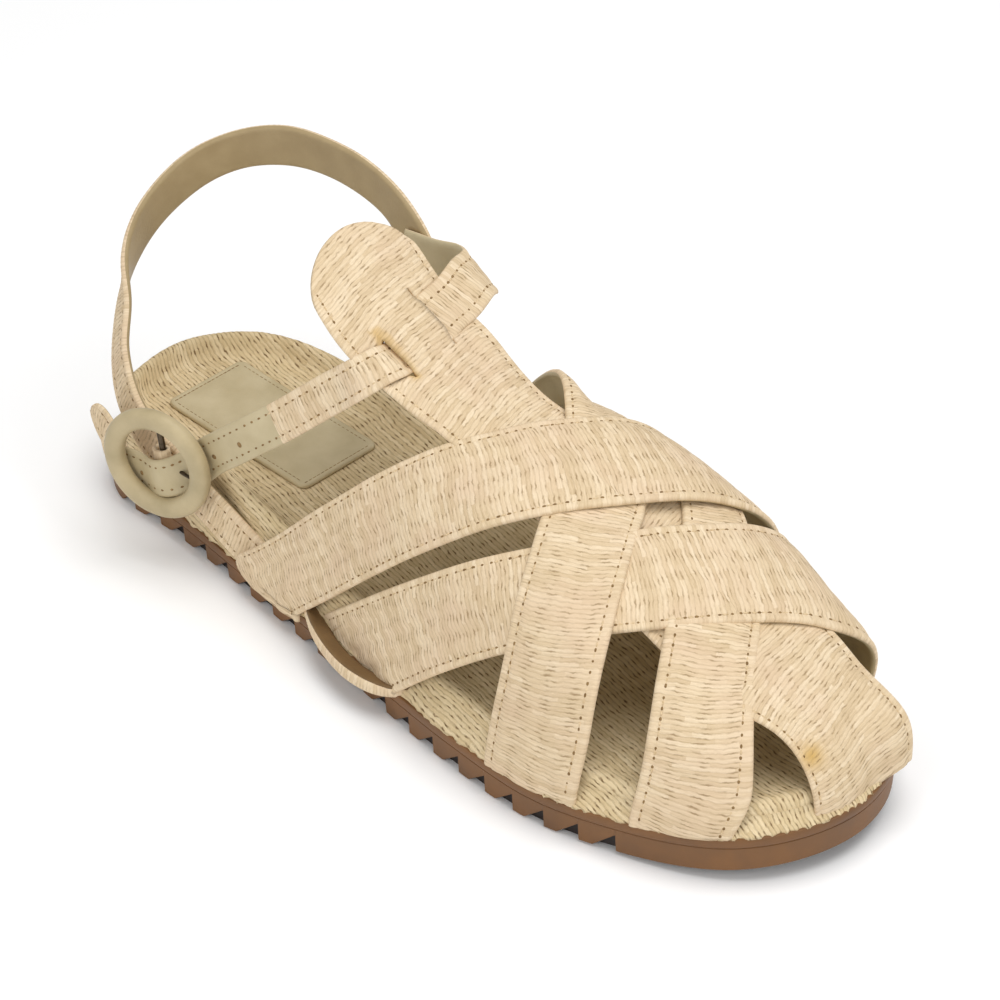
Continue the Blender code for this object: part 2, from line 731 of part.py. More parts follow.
def build_prong(parent):
    path = [ring_point(along, STRAP_SIT, out) for along, out in PRONG_PATH]
    points, faces = tube(path, PRONG_RADIUS, PRONG_SIDES, RING_UP)
    return add_piece("buckle_prong", points, faces, "metal", parent)


def build_loop(parent):
    """A strip of raffia strap bent round the bar, with a slit for the prong."""
    bend = [(-LOOP_RADIUS * math.sin(turn), BAR_DEPTH - LOOP_RADIUS * math.cos(turn))
            for turn in np.linspace(0.0, math.pi, LOOP_BEND_STEPS + 1)]
    start = [(LOOP_LEG, bend[0][1]), (LOOP_LEG / 2, bend[0][1])]
    end = [(LOOP_LEG / 2, bend[-1][1] - LOOP_LEG_DIP / 3), (LOOP_LEG, bend[-1][1] - LOOP_LEG_DIP)]
    profile = start + bend + end
    half = LOOP_WIDTH / 2
    ups = [STRAP_SIT + offset for offset in (-half, -PRONG_HOLE_HALF_WIDTH, PRONG_HOLE_HALF_WIDTH, half)]
    sheet = np.array([[ring_point(along, up, out) for up in ups] for along, out in profile])
    keep = np.ones((len(profile) - 1, 3), bool)
    keep[len(start):len(start) + LOOP_BEND_STEPS, 1] = False
    points, faces = thick_sheet(sheet, LOOP_THICKNESS, keep)
    return add_piece("buckle_loop", points, faces, "raffia", parent)


def centre_on_floor(frame, pieces):
    """Moves the sandal so that the middle of its box stands on the origin."""
    corners = np.array([vertex.co for piece in pieces for vertex in piece.data.vertices])
    low = corners.min(axis=0)
    high = corners.max(axis=0)
    frame.location = (-(low[0] + high[0]) / 2, -(low[1] + high[1]) / 2, -low[2])


def main():
    for old in list(bpy.data.objects):
        bpy.data.objects.remove(old, do_unlink=True)
    frame = bpy.data.objects.new("sandal", None)
    bpy.context.scene.collection.objects.link(frame)
    pieces = [
        build_outsole(frame),
        build_footbed(frame),
        build_patch(frame),
        build_upper(frame),
        build_sling(frame),
        build_ankle_strap(frame),
        build_ring(frame),
        build_bar(frame),
        build_loop(frame),
        build_prong(frame),
    ]
    centre_on_floor(frame, pieces)


main()
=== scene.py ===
"""The looks of a raffia sandal for the right foot, with its stitches, floor, light and camera.

Tables are in millimetres in the shoe's own frame: x runs from the back of the heel to the toe, y to the inner
side of the foot and z up from the floor.  place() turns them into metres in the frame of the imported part.
"""
import functools
import math

import bpy
import numpy as np
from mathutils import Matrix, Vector


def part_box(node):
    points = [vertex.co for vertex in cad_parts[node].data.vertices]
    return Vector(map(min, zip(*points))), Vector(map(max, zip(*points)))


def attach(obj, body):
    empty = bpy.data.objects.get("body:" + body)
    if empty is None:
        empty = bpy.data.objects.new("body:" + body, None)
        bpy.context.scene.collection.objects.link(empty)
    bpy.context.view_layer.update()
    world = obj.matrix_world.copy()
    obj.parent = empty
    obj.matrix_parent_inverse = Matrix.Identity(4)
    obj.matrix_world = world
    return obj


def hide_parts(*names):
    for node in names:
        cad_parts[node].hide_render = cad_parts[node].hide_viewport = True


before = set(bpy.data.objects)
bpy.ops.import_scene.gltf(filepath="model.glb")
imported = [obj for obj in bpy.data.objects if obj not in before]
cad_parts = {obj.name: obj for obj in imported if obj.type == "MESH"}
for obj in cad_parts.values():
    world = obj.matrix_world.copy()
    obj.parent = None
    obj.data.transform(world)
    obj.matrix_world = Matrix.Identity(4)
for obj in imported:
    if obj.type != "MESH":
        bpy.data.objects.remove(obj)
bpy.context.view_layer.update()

MM = 0.001
# Height of the patch over the footbed, and of the straps' ends over the rubber
GAP = 0.3
# Places nearer than this are the same
TOUCH = 0.01
# Spacing of the grids along and across the straps
ROW_SPACING = 0.38
COLUMN_SPACING = 1.1
# Numbers that make a sine look random
HASH_FACTORS = (12.9898, 78.233)
HASH_SCALE = 43758.5453

# Sole
SOLE_LENGTH = 258.0
# Half widths of the outsole on the outer and the inner side of the foot
OUTLINE = (
    # x, outer, inner
    (4.0, 20.5, 16.0),
    (15.0, 29.5, 28.5),
    (40.0, 30.8, 36.0),
    (80.0, 36.0, 34.0),
    (120.0, 42.0, 36.0),
    (160.0, 47.8, 43.0),
    (190.0, 49.0, 45.0),
    (215.0, 43.5, 41.5),
    (240.0, 33.0, 32.5),
)
# Height of the rubber's upper face, of the footbed's rim and of its floor, before the toe springs up
HEIGHTS = (
    # x, rubber, rim, floor
    (0.0, 8.5, 30.5, 26.0),
    (35.0, 8.5, 29.8, 24.5),
    (75.0, 8.5, 27.0, 23.5),
    (110.0, 9.2, 24.0, 22.0),
    (150.0, 10.4, 20.5, 19.5),
    (200.0, 10.6, 18.6, 18.0),
    (258.0, 10.6, 18.0, 17.6),
)
TOE_SPRING = 6.0
TOE_SPRING_START = 185.0
HEEL_SPRING = 1.5
HEEL_SPRING_END = 14.0
# Tread: slanted notches along its edge, each with an upright front wall
NOTCH_COUNT = 20
NOTCH_PITCH = 10.1
NOTCH_FIRST = 23.0
NOTCH_LENGTH = 6.2
NOTCH_DEPTH = 5.0
NOTCH_WALL = 0.25
NOTCH_SHAPE = (
    # notch lengths behind its wall, along from there, height as notch depths, and over that
    (1, -0.12, 0, 0.0),
    (1, 0.12, 0, 0.12),
    (0, -0.4, 1, -0.15),
    (0, -0.1, 1, 0.0),
    (0, 0.0, 1, -0.12),
    (0, NOTCH_WALL, 0, 0.12),
    (0, 0.4, 0, 0.0),
)
NOTCH_MARGIN = 1.0
SOLE_STATIONS = 130
SOLE_SHARP_ANGLE = 30
# Rubber wall from the tread up, with the rim that its upper edge carries
SOLE_WALL = (
    # inset, height over the tread, height under the upper face; one of the two is None
    (2.6, 0.0, None),
    (1.3, 0.0, None),
    (0.9, 0.3, None),
    (0.5, None, 3.3),
    (0.7, None, 3.1),
    (0.4, None, 2.8),
    (0.1, None, 2.3),
    (0.0, None, 0.8),
    (0.2, None, 0.2),
    (0.8, None, 0.0),
)
# The middle of the tread is plain
TREAD_CORE_INSET = 2.8
TREAD_CORE_HEIGHT = 0.1
# Its edge and the first row of the wall are near black with painted shade, as the notches are shaded
PAINTED_SHADE_LOOPS = 2
# Insets of the straps and the footbed from the outsole's edge
STRAP_INSET = 2.6
FOOTBED_INSET = 4.3
# Footbed from its frayed lower edge up over the rim to the floor
FOOTBED_PROFILE = (
    # inset beyond the footbed's edge, height as shares of rubber top, rim and floor, drop, fray
    (-3.9, (1.0, 0.0, 0.0), 0.5, 0.35),
    (-3.4, (1.0, 0.0, 0.0), -0.5, 0.2),
    (-1.8, (0.75, 0.25, 0.0), 0.0, 0.0),
    (-0.4, (0.4, 0.6, 0.0), 0.0, 0.0),
    (0.0, (0.0, 1.0, 0.0), 3.4, 0.0),
    (0.15, (0.0, 1.0, 0.0), 2.2, 0.0),
    (0.7, (0.0, 1.0, 0.0), 1.0, 0.0),
    (1.5, (0.0, 1.0, 0.0), 0.3, 0.0),
    (2.6, (0.0, 1.0, 0.0), 0.0, 0.0),
    (3.6, (0.0, 0.8, 0.2), 0.0, 0.0),
    (4.8, (0.0, 0.35, 0.65), 0.0, 0.0),
    (6.0, (0.0, 0.1, 0.9), 0.0, 0.0),
    (7.2, (0.0, 0.0, 1.0), 0.0, 0.0),
)
FOOTBED_STATIONS = 260
FOOTBED_COLUMNS = 186
FRAY_SEED = 3

# Leather patch on the footbed
PATCH_CENTRE = (46.5, 0.4)
PATCH_SIZE = (54.0, 28.0)
PATCH_CORNER = 2.5
PATCH_THICKNESS = 1.0
# Its grid: places close to an edge, where the even ones start, and how many they are
PATCH_ROWS = ((0.0, 0.15, 0.5, 1.0, 1.5, 2.0, 2.5), 3.2, 60)
PATCH_COLUMNS = ((0.0, 0.2, 0.6, 1.2, 1.7, 2.2), 3.0, 30)
# The line of the grid that its border is sewn on
PATCH_SEAM = 4
PATCH_ROUNDING = 0.6
PATCH_EDGE_SHARE = 0.3
PATCH_GROOVE = 0.22
PATCH_GROOVE_INSET = 1.7
PATCH_GROOVE_SPREAD = 0.35
PATCH_SWELL = 0.12
PATCH_SWELL_RANGE = (2.0, 6.0)

# The surface that the straps lie on: fuller than an ellipse, which has 2, and more so on the inner side
OUTER_FULLNESS = 2.15
INNER_FULLNESS = (
    # x, fullness
    (70.0, 2.15),
    (105.0, 2.6),
    (140.0, 3.5),
    (175.0, 3.3),
    (210.0, 3.1),
    (245.0, 2.65),
)
CREST = (
    # x, height of the middle above the floor
    (40.0, 36.0),
    (60.0, 46.0),
    (100.0, 66.0),
    (140.0, 70.0),
    (180.0, 63.5),
    (215.0, 52.0),
    (240.0, 41.5),
)
# A strap's rear and front edges: where they meet the outer and inner sole edge, and their bow to the toe
STRAPS = (
    # name, rear outer, rear inner, rear bow, front outer, front inner, front bow
    ("strap_a", 65.0, 157.0, 30.5, 97.5, 192.7, 32.0),
    ("strap_b", 101.6, 190.0, 39.0, 140.0, 229.5, 33.0),
    ("strap_d", 175.1, 76.5, 28.9, 203.7, 101.5, 30.0),
    ("strap_e", 218.1, 110.7, 30.8, 242.0, 136.6, 33.1),
)
# How far each strap is lifted where it crosses over another, and pressed down where it passes under
STRAP_LIFTS = {
    # turn from the outer to the inner side, lift
    "strap_a": ((-1.0, 0.0), (-0.6, 1.1), (0.09, 2.4), (0.48, 1.8), (1.0, 0.0)),
    "strap_b": ((-1.0, 0.0), (-0.28, -0.5), (0.11, 0.9), (0.55, 0.6), (1.0, 0.0)),
    "strap_d": ((-1.0, 0.0), (-0.28, 1.2), (0.09, 0.1), (0.5, 0.3), (1.0, 0.0)),
    "strap_e": ((-1.0, 0.0), (-0.4, 0.2), (0.11, -0.8), (0.48, -0.5), (1.0, 0.0)),
}
# Where one edge of a strap stands off the foot
STRAP_SLACK = (
    # name, from turn, most at, to turn, edge (0 front, 1 rear), lift
    ("strap_d", 0.1, 0.42, 0.95, 1.0, 4.6),
    ("strap_b", 0.3, 0.75, 1.05, 0.0, 1.5),
)
# Slack begins at this share of the way from the far edge
SLACK_START = 0.45
# A strap's outer end leans out to the rubber's rim, or over it, and its rear corner is round
STRAP_ENDS = {
    # name: lean at the front edge, lean at the rear edge, hang below the rubber's upper face, corner
    "strap_a": (2.6, 2.8, 2.4, 13.0),
    "strap_b": (2.4, -0.4, 0.4, 4.0),
    "strap_d": (1.6, 1.6, 0.5, 0.0),
    "strap_e": (1.6, 1.6, 0.5, 0.0),
}
# Lean and hang of every strap's inner end
STRAP_INNER_END = (0.8, 0.5)
END_LEAN_START = 0.72
HANG_PER_TURN = 60.0
# Turns that a strap is worked out over, and those that its sheet covers
TURN_REACH = 1.3
TURN_STEPS = 1301
SHEET_REACH = 1.1
# A step between rows is too long, or stretches the weave, past these shares of its usual length
LONGEST_STEP = 1.5
STRETCH_START = 1.3
# A round corner ends within this turn
CORNER_REACH = 0.5
CORNER_STEPS = 101
# A strap has its whole width up to this turn, and its seam lies between these turns
WHOLE_TURN = 0.9
SEAM_START = 0.02
SEAM_END = 0.99
# How far the centre strip is pressed down under the straps: x, lift
STRIP_LIFT = ((72.0, 0.0), (135.0, 0.0), (165.0, -1.3), (205.0, -2.4), (228.0, -0.4), (258.0, 0.0))
STRAP_THICKNESS = 2.0

# Loose band at the outer end of strap b
LOOSE_BAND = (
    # x, y, z
    (95.0, -35.6, 13.0),
    (100.0, -38.6, 12.0),
    (106.0, -42.0, 10.8),
    (114.6, -45.4, 9.9),
    (125.8, -47.4, 9.5),
    (135.6, -46.6, 10.0),
    (144.0, -42.6, 11.6),
)
LOOSE_BAND_WIDTH = 3.0
LOOSE_BAND_THICKNESS = 1.0
LOOSE_BAND_TILT = 0.25
LOOSE_COLUMNS = 9
# The band's inner face, a sheet in lining leather painted darker: painted shade between the band and the
# strap's end
LOOSE_LINING_SHIFT = (0.0, 2.3, 1.0)
LOOSE_LINING_FACE = (0.0, 0.3, 1.0)
LOOSE_LINING_WIDTH = 4.4
LOOSE_LINING_THICKNESS = 0.8

# Centre strip: its edges to the outer and the inner side
STRIP_EDGES = (
    # x, outer, inner
    (72.0, 18.0, 18.0),
    (97.0, 20.0, 18.3),
    (110.0, 18.8, 18.5),
    (130.0, 16.0, 16.0),
    (165.0, 17.0, 17.0),
    (200.0, 19.5, 19.0),
    (230.0, 18.6, 20.5),
    (258.0, 9.4, 18.5),
)
STRIP_HALF = 18.5
STRIP_THICKNESS = 1.5
# Its tongue stands up behind the straps
TONGUE_RISE = (
    # x, middle height
    (72.0, 105.0),
    (83.0, 96.5),
    (93.0, 88.5),
    (112.0, 79.0),
    (131.0, 73.0),
    (150.0, 69.5),
    (170.0, 65.5),
)
TONGUE_TIP = 76.0
TONGUE_ROUNDING = 12.0
TONGUE_EDGE_DROP = 2.5
TONGUE_MEETS_LAST = (126.0, 150.0)
TONGUE_BODY_START = 91.0
# Slots for the ankle strap
SLOTS = (
    # outer edge, inner edge, rear end, front end
    (-10.2, -9.5, 101.4, 113.0),
    (6.2, 6.9, 93.0, 111.0),
)
# The band between them lies over the strap, and the margins lie under it
BAND_RISE = 1.5
MARGIN_DIP = -1.2
MARGIN_REACH = 5.0
BAND_SHARE = 0.44
BAND_REAR_EASE = (-3.0, 1.0)
BAND_FRONT_EASE = (-1.5, 2.2)
SLOT_CLEARANCE = 0.3
TIP_ROWS = 44
TOE_ROWS = 111
# The strip's width at the toe is taken here
TOE_EDGE_X = 250.0
TOE_BAR_START = 228.0
# Yellow spot on the toe bar, and ochre cut edges at the outer slot
STAIN_PLACE = (247.5, -9.0, 31.0)
STAIN_RADIUS = 3.1
STAIN_STRENGTH = 0.85
SLOT_STAIN_STRENGTH = 0.55
SLOT_STAIN_REACH = 3.5
SLOT_STAIN_FADE = 1.5
SLOT_STAIN_WIDTH = (0.3, 1.6)
# The inner corner of its front end stands off the sole's edge
CORNER_FLARE = (5.6, 2.8, 1.2)
CORNER_FLARE_RANGE = (4.0, 20.0)
CORNER_FLARE_POWER = 3

# Heel sling, from the outer sole edge round the heel to the inner one, with the way its outer face looks
SLING_WIDTH = 12.0
SLING_THICKNESS = 2.2
SLING_PATH = (
    # x, y, z, face x, face y, face z
    (82.0, -33.2, 11.4, -0.10, -0.96, 0.25),
    (72.0, -32.2, 13.8, -0.12, -0.96, 0.22),
    (61.0, -32.4, 18.4, -0.10, -0.97, 0.18),
    (52.0, -33.0, 22.8, -0.06, -0.99, 0.15),
    (43.5, -33.2, 27.8, -0.12, -0.98, 0.10),
    (33.5, -32.8, 32.2, -0.25, -0.95, 0.15),
    (23.3, -29.8, 37.0, -0.35, -0.90, 0.22),
    (13.8, -24.4, 43.5, -0.47, -0.85, 0.24),
    (6.8, -16.2, 52.0, -0.62, -0.70, 0.32),
    (1.2, -8.0, 62.5, -0.90, -0.40, 0.14),
    (0.2, 2.0, 72.5, -1.0, 0.0, 0.0),
    (3.5, 14.5, 81.0, -0.90, 0.42, 0.0),
    (11.0, 25.0, 86.0, -0.68, 0.73, 0.0),
    (21.0, 31.0, 89.0, -0.40, 0.91, 0.0),
    (36.0, 35.2, 89.5, -0.10, 0.99, 0.0),
    (50.0, 35.6, 88.0, 0.02, 1.0, 0.0),
    (62.0, 35.2, 83.5, 0.05, 1.0, 0.0),
    (69.5, 35.2, 75.0, 0.05, 1.0, 0.0),
    (71.5, 35.4, 63.0, 0.05, 1.0, 0.0),
    (70.0, 35.4, 48.0, 0.05, 1.0, 0.0),
    (68.0, 34.2, 32.0, 0.05, 1.0, 0.05),
    (66.5, 32.3, 17.6, 0.05, 1.0, 0.10),
)

# Ring buckle, on the outer side, and the strap that lies through it
RING_CENTRE = (46.4, -41.0, 33.5)
RING_FACE = (0.25, -0.967, 0.03)
RING_RUN = (-0.955, -0.245, -0.17)
RING_OUTER_RADIUS = 16.4
RING_INNER_RADIUS = 10.6
RING_THICKNESS = 4.6
RING_SECTION_FULLNESS = 2.4
RING_TURNS = 96
RING_SIDES = 24
BAR_DEPTH = -3.5
BAR_SIT = -3.0

# Ankle strap, from the inside of the heel sling over the tongue to the buckle
ANKLE_WIDTH = 11.0
ANKLE_THICKNESS = 1.2
ANKLE_LIFT = 0.2
MARGIN_LIFT = 1.6
MARGIN_LIFT_REACH = 6.0
ANKLE_PATH_INNER = (
    # x, y, z, face x, face y, face z
    (67.0, 32.7, 74.6, 0.05, 1.0, 0.0),
    (78.0, 33.4, 76.4, 0.05, 1.0, 0.02),
    (87.0, 34.2, 78.6, 0.16, 0.97, 0.14),
    (93.8, 32.4, 81.4, 0.30, 0.80, 0.50),
    (97.6, 26.0, 84.2, 0.36, 0.45, 0.80),
)
# Where it lies on the tongue
ANKLE_TONGUE = (
    # x, y
    (100.0, 17.0),
    (101.8, 10.0),
    (103.2, 5.0),
    (104.8, -2.5),
    (106.3, -10.0),
    (105.8, -15.0),
)
ANKLE_PATH_OUTER = (
    # x, y, z, face x, face y, face z
    (103.5, -20.3, 79.1, 0.44, -0.50, 0.75),
    (96.5, -23.2, 72.6, 0.36, -0.76, 0.54),
    (81.5, -29.5, 58.2, 0.28, -0.88, 0.38),
    (68.0, -33.6, 46.3, 0.26, -0.94, 0.20),
)
# How high it sits across the ring
ANKLE_SIT = (
    # along the run, up
    (-13.5, 1.5),
    (-8.0, -2.5),
    (0.0, -5.0),
    (8.0, -5.2),
    (13.5, -4.0),
)
ANKLE_TAPER = 7.0
ANKLE_INNER_WIDENING = 0.32
ANKLE_WIDENING_RANGE = (-10.0, 8.0)
ANKLE_BULGE = 2.95
ANKLE_BULGE_REACH = 9.5
ANKLE_BEHIND_RIM = -3.45
ANKLE_RING_ROWS = (-13.5, -10.6, -8.0, -6.2, -4.8, -3.4, -1.9, 0.0, 1.9, 3.4, 4.8, 6.2, 10.0, 13.5)
ANKLE_TAIL = (
    (25.0, -39.8, 33.0, -0.15, -0.98, 0.05),
    (17.5, -38.4, 35.8, -0.40, -0.91, 0.05),
)
# From here on the outer side the strap is bare leather
LEATHER_START_X = 81.5
LEATHER_END_X = 33.0

# Loop of strap round the bar, seen across the ring: along the run and out of its face
LOOP_THICKNESS = 0.8
LOOP_RADIUS = 1.5
LOOP_LEG = 3.2
LOOP_WIDTH = 11.0
LOOP_LEG_DIP = 1.5
LOOP_ROWS = 17
LOOP_COLUMNS = 15
LOOP_OPENNESS = 0.3

# Prong, from the bar up through the strap to the ring's inner edge: along the run and out of its face
PRONG_PATH = (
    # along, out
    (-1.4, -3.5),
    (-4.4, -2.7),
    (-7.4, -1.3),
    (-9.6, -0.4),
)
PRONG_RADIUS = 0.7
PRONG_TIP_SHARE = 0.65
PRONG_ROWS = 19
PRONG_SIDES = 14
PRONG_SHARP_ANGLE = 40

# Weave: flat raffia wefts across a strap, bound by thin warps along it
WEFT_PITCH = 1.15
WARP_PITCH = 5.5
WEFT_RELIEF = 0.16
RIB_RELIEF = 0.1
WEFT_SLANT = 0.04
STRIP_SLANT = 0.2
FOOTBED_PITCH = 1.25
FOOTBED_WARP = 4.6
FOOTBED_TURN = -9.5
WEFT_FLATNESS = 0.6
# Slow waves in which the threads wander and the straps ripple
WEFT_WANDER = (
    # height, length along and across for one radian, share of the seed
    (0.3, 2.9, math.inf, 1.0),
    (0.22, 11.0, 3.7, 1.0),
)
WEFT_QUIVER = ((0.12, -7.0, 1.9, 2.0),)
WARP_WANDER = ((0.6, 5.3, math.inf, 1.0),)
STRAP_RIPPLE = ((0.2, 7.3, 9.0, 1.7), (0.13, 4.1, -6.0, 1.0))
# Each woven piece has its own weave
WEAVE_SEEDS = {
    "strap_a": 1, "strap_b": 2, "strap_d": 3, "strap_e": 4,
    "centre_strip": 7, "heel_sling": 11, "ankle_band": 13, "loose_band": 17,
}
FOOTBED_SEED = 5
SEED_SPACING = 40.0
# Straws: how far a weft wanders and a warp shifts, straws and fibres in a millimetre, and their relief
CRINKLE = 1.1
WARP_JITTER = 2.4
STRAWS_PER_MM = 0.09
STRAW_OFFSET = 0.618
FIBRES_PER_MM = (0.3, 3.4, 1.0)
STRAW_RELIEF = 0.2
# A Wave texture's scale for a pitch of one
WAVE_PITCH = math.pi / 10
# Grain and relief of the leather and the rubber
LEATHER_GRAIN = 0.7
LEATHER_RELIEF = 0.12
RUBBER_SPECK = 0.8
RUBBER_RELIEF = 0.1
# The clouds on the floor are a third of a metre wide
BOARD_CLOUDS = 1000.0 / 3
# A strap's folded edge and the seam that holds it down
EDGE_ROUNDING = 0.9
EDGE_LEAST = 0.15
SEAM_INSET = 2.2
EDGE_PLACES = (0.0, 0.3, 0.8, 1.4, SEAM_INSET, 2.8)
# The weave is closed at the edge and opens past the seam
EDGE_OPENNESS = 0.35
OPENING_RANGE = (SEAM_INSET - 0.4, SEAM_INSET + 0.9)
SEAM_DENT = 0.28
SEAM_SPREAD = 0.6
STITCH_PITCH = 2.7
# Half length, half width and height of stitches and holes
HOLE_SIZE = (0.5, 0.42, 0.14)
THREAD_SIZE = (0.75, 0.26, 0.16)
PUNCH_SIZE = (0.85, 0.85, 0.06)
BORDER_SIZE = (0.7, 0.2, 0.06)
THREAD_SINK = 0.05
STITCH_VARIATION = 0.2
DOME_SIDES = 8
DOME_RINGS = 2
# Creases placed one by one on the straps: a trough where the depth is below zero, a ridge above
CREASES = (
    # strap, along, across at one end, along, across at the other end, depth, width
    ("strap_a", 8.0, 8.0, 24.0, 3.0, -0.7, 2.4),
    ("strap_a", 6.0, -9.0, 20.0, -5.0, 0.6, 2.6),
    ("strap_a", 30.0, -4.0, 85.0, -3.0, -0.45, 2.2),
    ("strap_a", 60.0, 5.0, 125.0, 4.0, -0.4, 2.2),
    ("strap_a", 95.0, -8.0, 118.0, -1.0, 0.5, 3.0),
    ("strap_b", 8.0, -5.5, 62.0, -5.0, -0.5, 1.7),
    ("strap_b", 8.0, 0.5, 58.0, 1.0, -0.45, 1.7),
    ("strap_b", 10.0, 6.5, 60.0, 6.5, -0.4, 1.7),
    ("strap_d", 5.0, -5.0, 20.0, -2.0, -0.5, 2.0),
    ("strap_d", 6.0, 5.0, 22.0, 3.0, -0.45, 2.0),
    ("strap_d", 45.0, -6.0, 62.0, 4.0, 0.4, 3.0),
    ("strap_e", 4.0, 4.0, 22.0, 1.0, -0.4, 2.0),
    ("strap_e", 32.0, -4.0, 55.0, -4.0, -0.3, 2.2),
    ("centre_strip", 10.0, -6.0, 24.0, -10.0, -0.5, 2.6),
    ("centre_strip", 40.0, 12.0, 62.0, 3.0, -0.6, 3.0),
    ("centre_strip", 52.0, -12.0, 66.0, -4.0, 0.5, 2.6),
)
# Holes punched in the strap's leather end
PUNCH_X = (71.0, 61.5, 39.5)

# Camera: where it stands, what it looks at, and its lens on a 36 mm sensor
CAMERA_PLACE = (798.6, -681.6, 756.0)
CAMERA_AIM = (126.9, 6.4, 38.0)
CAMERA_LENS = 166.0
CAMERA_SENSOR = 36.0
CAMERA_CLIP = 0.05
# Studio in metres and watts: a white floor, even light from all sides, and three lamps
FLOOR_REACH = 2.5
WORLD_STRENGTH = 0.48
LIGHTS = (
    # name, place, width, power
    ("overhead", (0.25, 0.10, 1.3), 1.1, 10.6),
    ("toe_side", (1.2, -0.1, 0.7), 0.8, 2.5),
    ("outer_side", (0.1, -1.2, 0.7), 0.8, 3.5),
)

SOLE_LOW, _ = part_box("outsole")
PATCH_LOW, PATCH_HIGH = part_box("footbed_patch")
ORIGIN = np.array([SOLE_LOW.x, (PATCH_LOW.y + PATCH_HIGH.y) / 2 - PATCH_CENTRE[1] * MM, SOLE_LOW.z])


def place(points):
    """Millimetres in the shoe's own frame to metres in the frame of the part."""
    return np.asarray(points, float) * MM + ORIGIN


def smooth(places, values, at):
    """A smooth curve through a table's rows; values may have several columns."""
    places = np.asarray(places, float)
    values = np.asarray(values, float)
    at = np.asarray(at, float)
    slopes = np.gradient(values, places, axis=0)
    row = np.clip(np.searchsorted(places, at) - 1, 0, len(places) - 2)
    step = places[row + 1] - places[row]
    u = np.clip((at - places[row]) / step, 0.0, 1.0)
    if values.ndim > 1:
        step = step[..., None]
        u = u[..., None]
    start = values[row] * (1 + 2 * u) * (1 - u) ** 2 + slopes[row] * step * u * (1 - u) ** 2
    end = values[row + 1] * u * u * (3 - 2 * u) + slopes[row + 1] * step * u * u * (u - 1)
    return start + end


def ease(low, high, at):
    """0 below low, 1 above high, with soft ends."""
    u = np.clip((np.asarray(at, float) - low) / (high - low), 0.0, 1.0)
    return u * u * (3 - 2 * u)


def unit(vectors):
    vectors = np.asarray(vectors, float)
    return vectors / np.maximum(np.linalg.norm(vectors, axis=-1, keepdims=True), 1e-9)


def column(table, number):
    return np.array([row[number] for row in table], float)


def lengths(points):
    """Distance along a row of points, from its first one."""
    steps = np.linalg.norm(np.diff(points, axis=0), axis=1)
    return np.concatenate(([0.0], np.cumsum(steps)))


def curve(table, at, number=1):
    """A smooth curve through one column of a table, over its first column."""
    return smooth(column(table, 0), column(table, number), at)


def hashed(*numbers):
    """A steady value from 0 to 1 that looks random, for whole numbers."""
    total = sum(np.asarray(number, float) * factor for number, factor in zip(numbers, HASH_FACTORS))
    return np.modf(np.abs(np.sin(total) * HASH_SCALE))[0]


# Sole and last

def along_share(x):
    """Place along the sole as the share of a half turn, so that curves over it end round at heel and toe."""
    return np.arccos(np.clip(1 - 2 * np.asarray(x, float) / SOLE_LENGTH, -1.0, 1.0)) / math.pi


def half_width(x, side):
    """Half width of the outsole at x; side is 1 for the outer side and 2 for the inner one."""
    places = along_share(np.concatenate(([0.0], column(OUTLINE, 0), [SOLE_LENGTH])))
    widths = np.concatenate(([0.0], column(OUTLINE, side), [0.0]))
    return smooth(places, widths, along_share(x))


def spring(x):
    """How far the sole lifts off the floor at the toe and the heel."""
    x = np.asarray(x, float)
    toe = TOE_SPRING * np.clip((x - TOE_SPRING_START) / (SOLE_LENGTH - TOE_SPRING_START), 0.0, 1.0) ** 2
    heel = HEEL_SPRING * np.clip((HEEL_SPRING_END - x) / HEEL_SPRING_END, 0.0, 1.0) ** 2
    return toe + heel


def rubber_top(x):
    return curve(HEIGHTS, x, 1) + spring(x)


def footbed_rim(x):
    return curve(HEIGHTS, x, 2) + spring(x)


def footbed_floor(x):
    return curve(HEIGHTS, x, 3) + spring(x)


def sole_stations(count):
    """Stations from heel to toe, close together at both round ends."""
    return SOLE_LENGTH * (1 - np.cos(np.linspace(0.0, math.pi, count))) / 2


def edge_loop(inset, stations):
    """The outline moved inward: heel point, outer side, toe point, inner side."""
    outer = np.stack([stations, -half_width(stations, 1)], axis=1)
    inner = np.stack([stations, half_width(stations, 2)], axis=1)
    loop = np.concatenate([outer, inner[-2:0:-1]])
    forward = unit(np.roll(loop, -1, axis=0) - loop)
    tangent = unit(forward + np.roll(forward, 1, axis=0))
    inward = np.stack([-tangent[:, 1], tangent[:, 0]], axis=1)
    return loop + inset * inward


# The line on which the straps stand, from heel to toe on the outer and the inner side
FINE_STATIONS = 400
STRAP_LOOP = edge_loop(STRAP_INSET, sole_stations(FINE_STATIONS))
STRAP_OUTER = STRAP_LOOP[:FINE_STATIONS]
STRAP_INNER = np.concatenate([STRAP_LOOP[FINE_STATIONS - 1:], STRAP_LOOP[:1]])[::-1]
LAST_END = STRAP_OUTER[-1, 0]


def last_half_width(x, y_sign):
    outer = np.interp(x, STRAP_OUTER[:, 0], -STRAP_OUTER[:, 1])
    inner = np.interp(x, STRAP_INNER[:, 0], STRAP_INNER[:, 1])
    return np.where(y_sign < 0, outer, inner)


def crest_height(x):
    places = along_share(np.append(column(CREST, 0), SOLE_LENGTH))
    base = rubber_top(column(CREST, 0))
    heights = np.append(column(CREST, 1) - base, 0.0)
    share = along_share(np.asarray(x, float) * SOLE_LENGTH / LAST_END)
    return np.maximum(smooth(places, heights, share), 0.0)


def fullness(x, y_sign):
    return np.where(y_sign > 0, curve(INNER_FULLNESS, x), OUTER_FULLNESS)


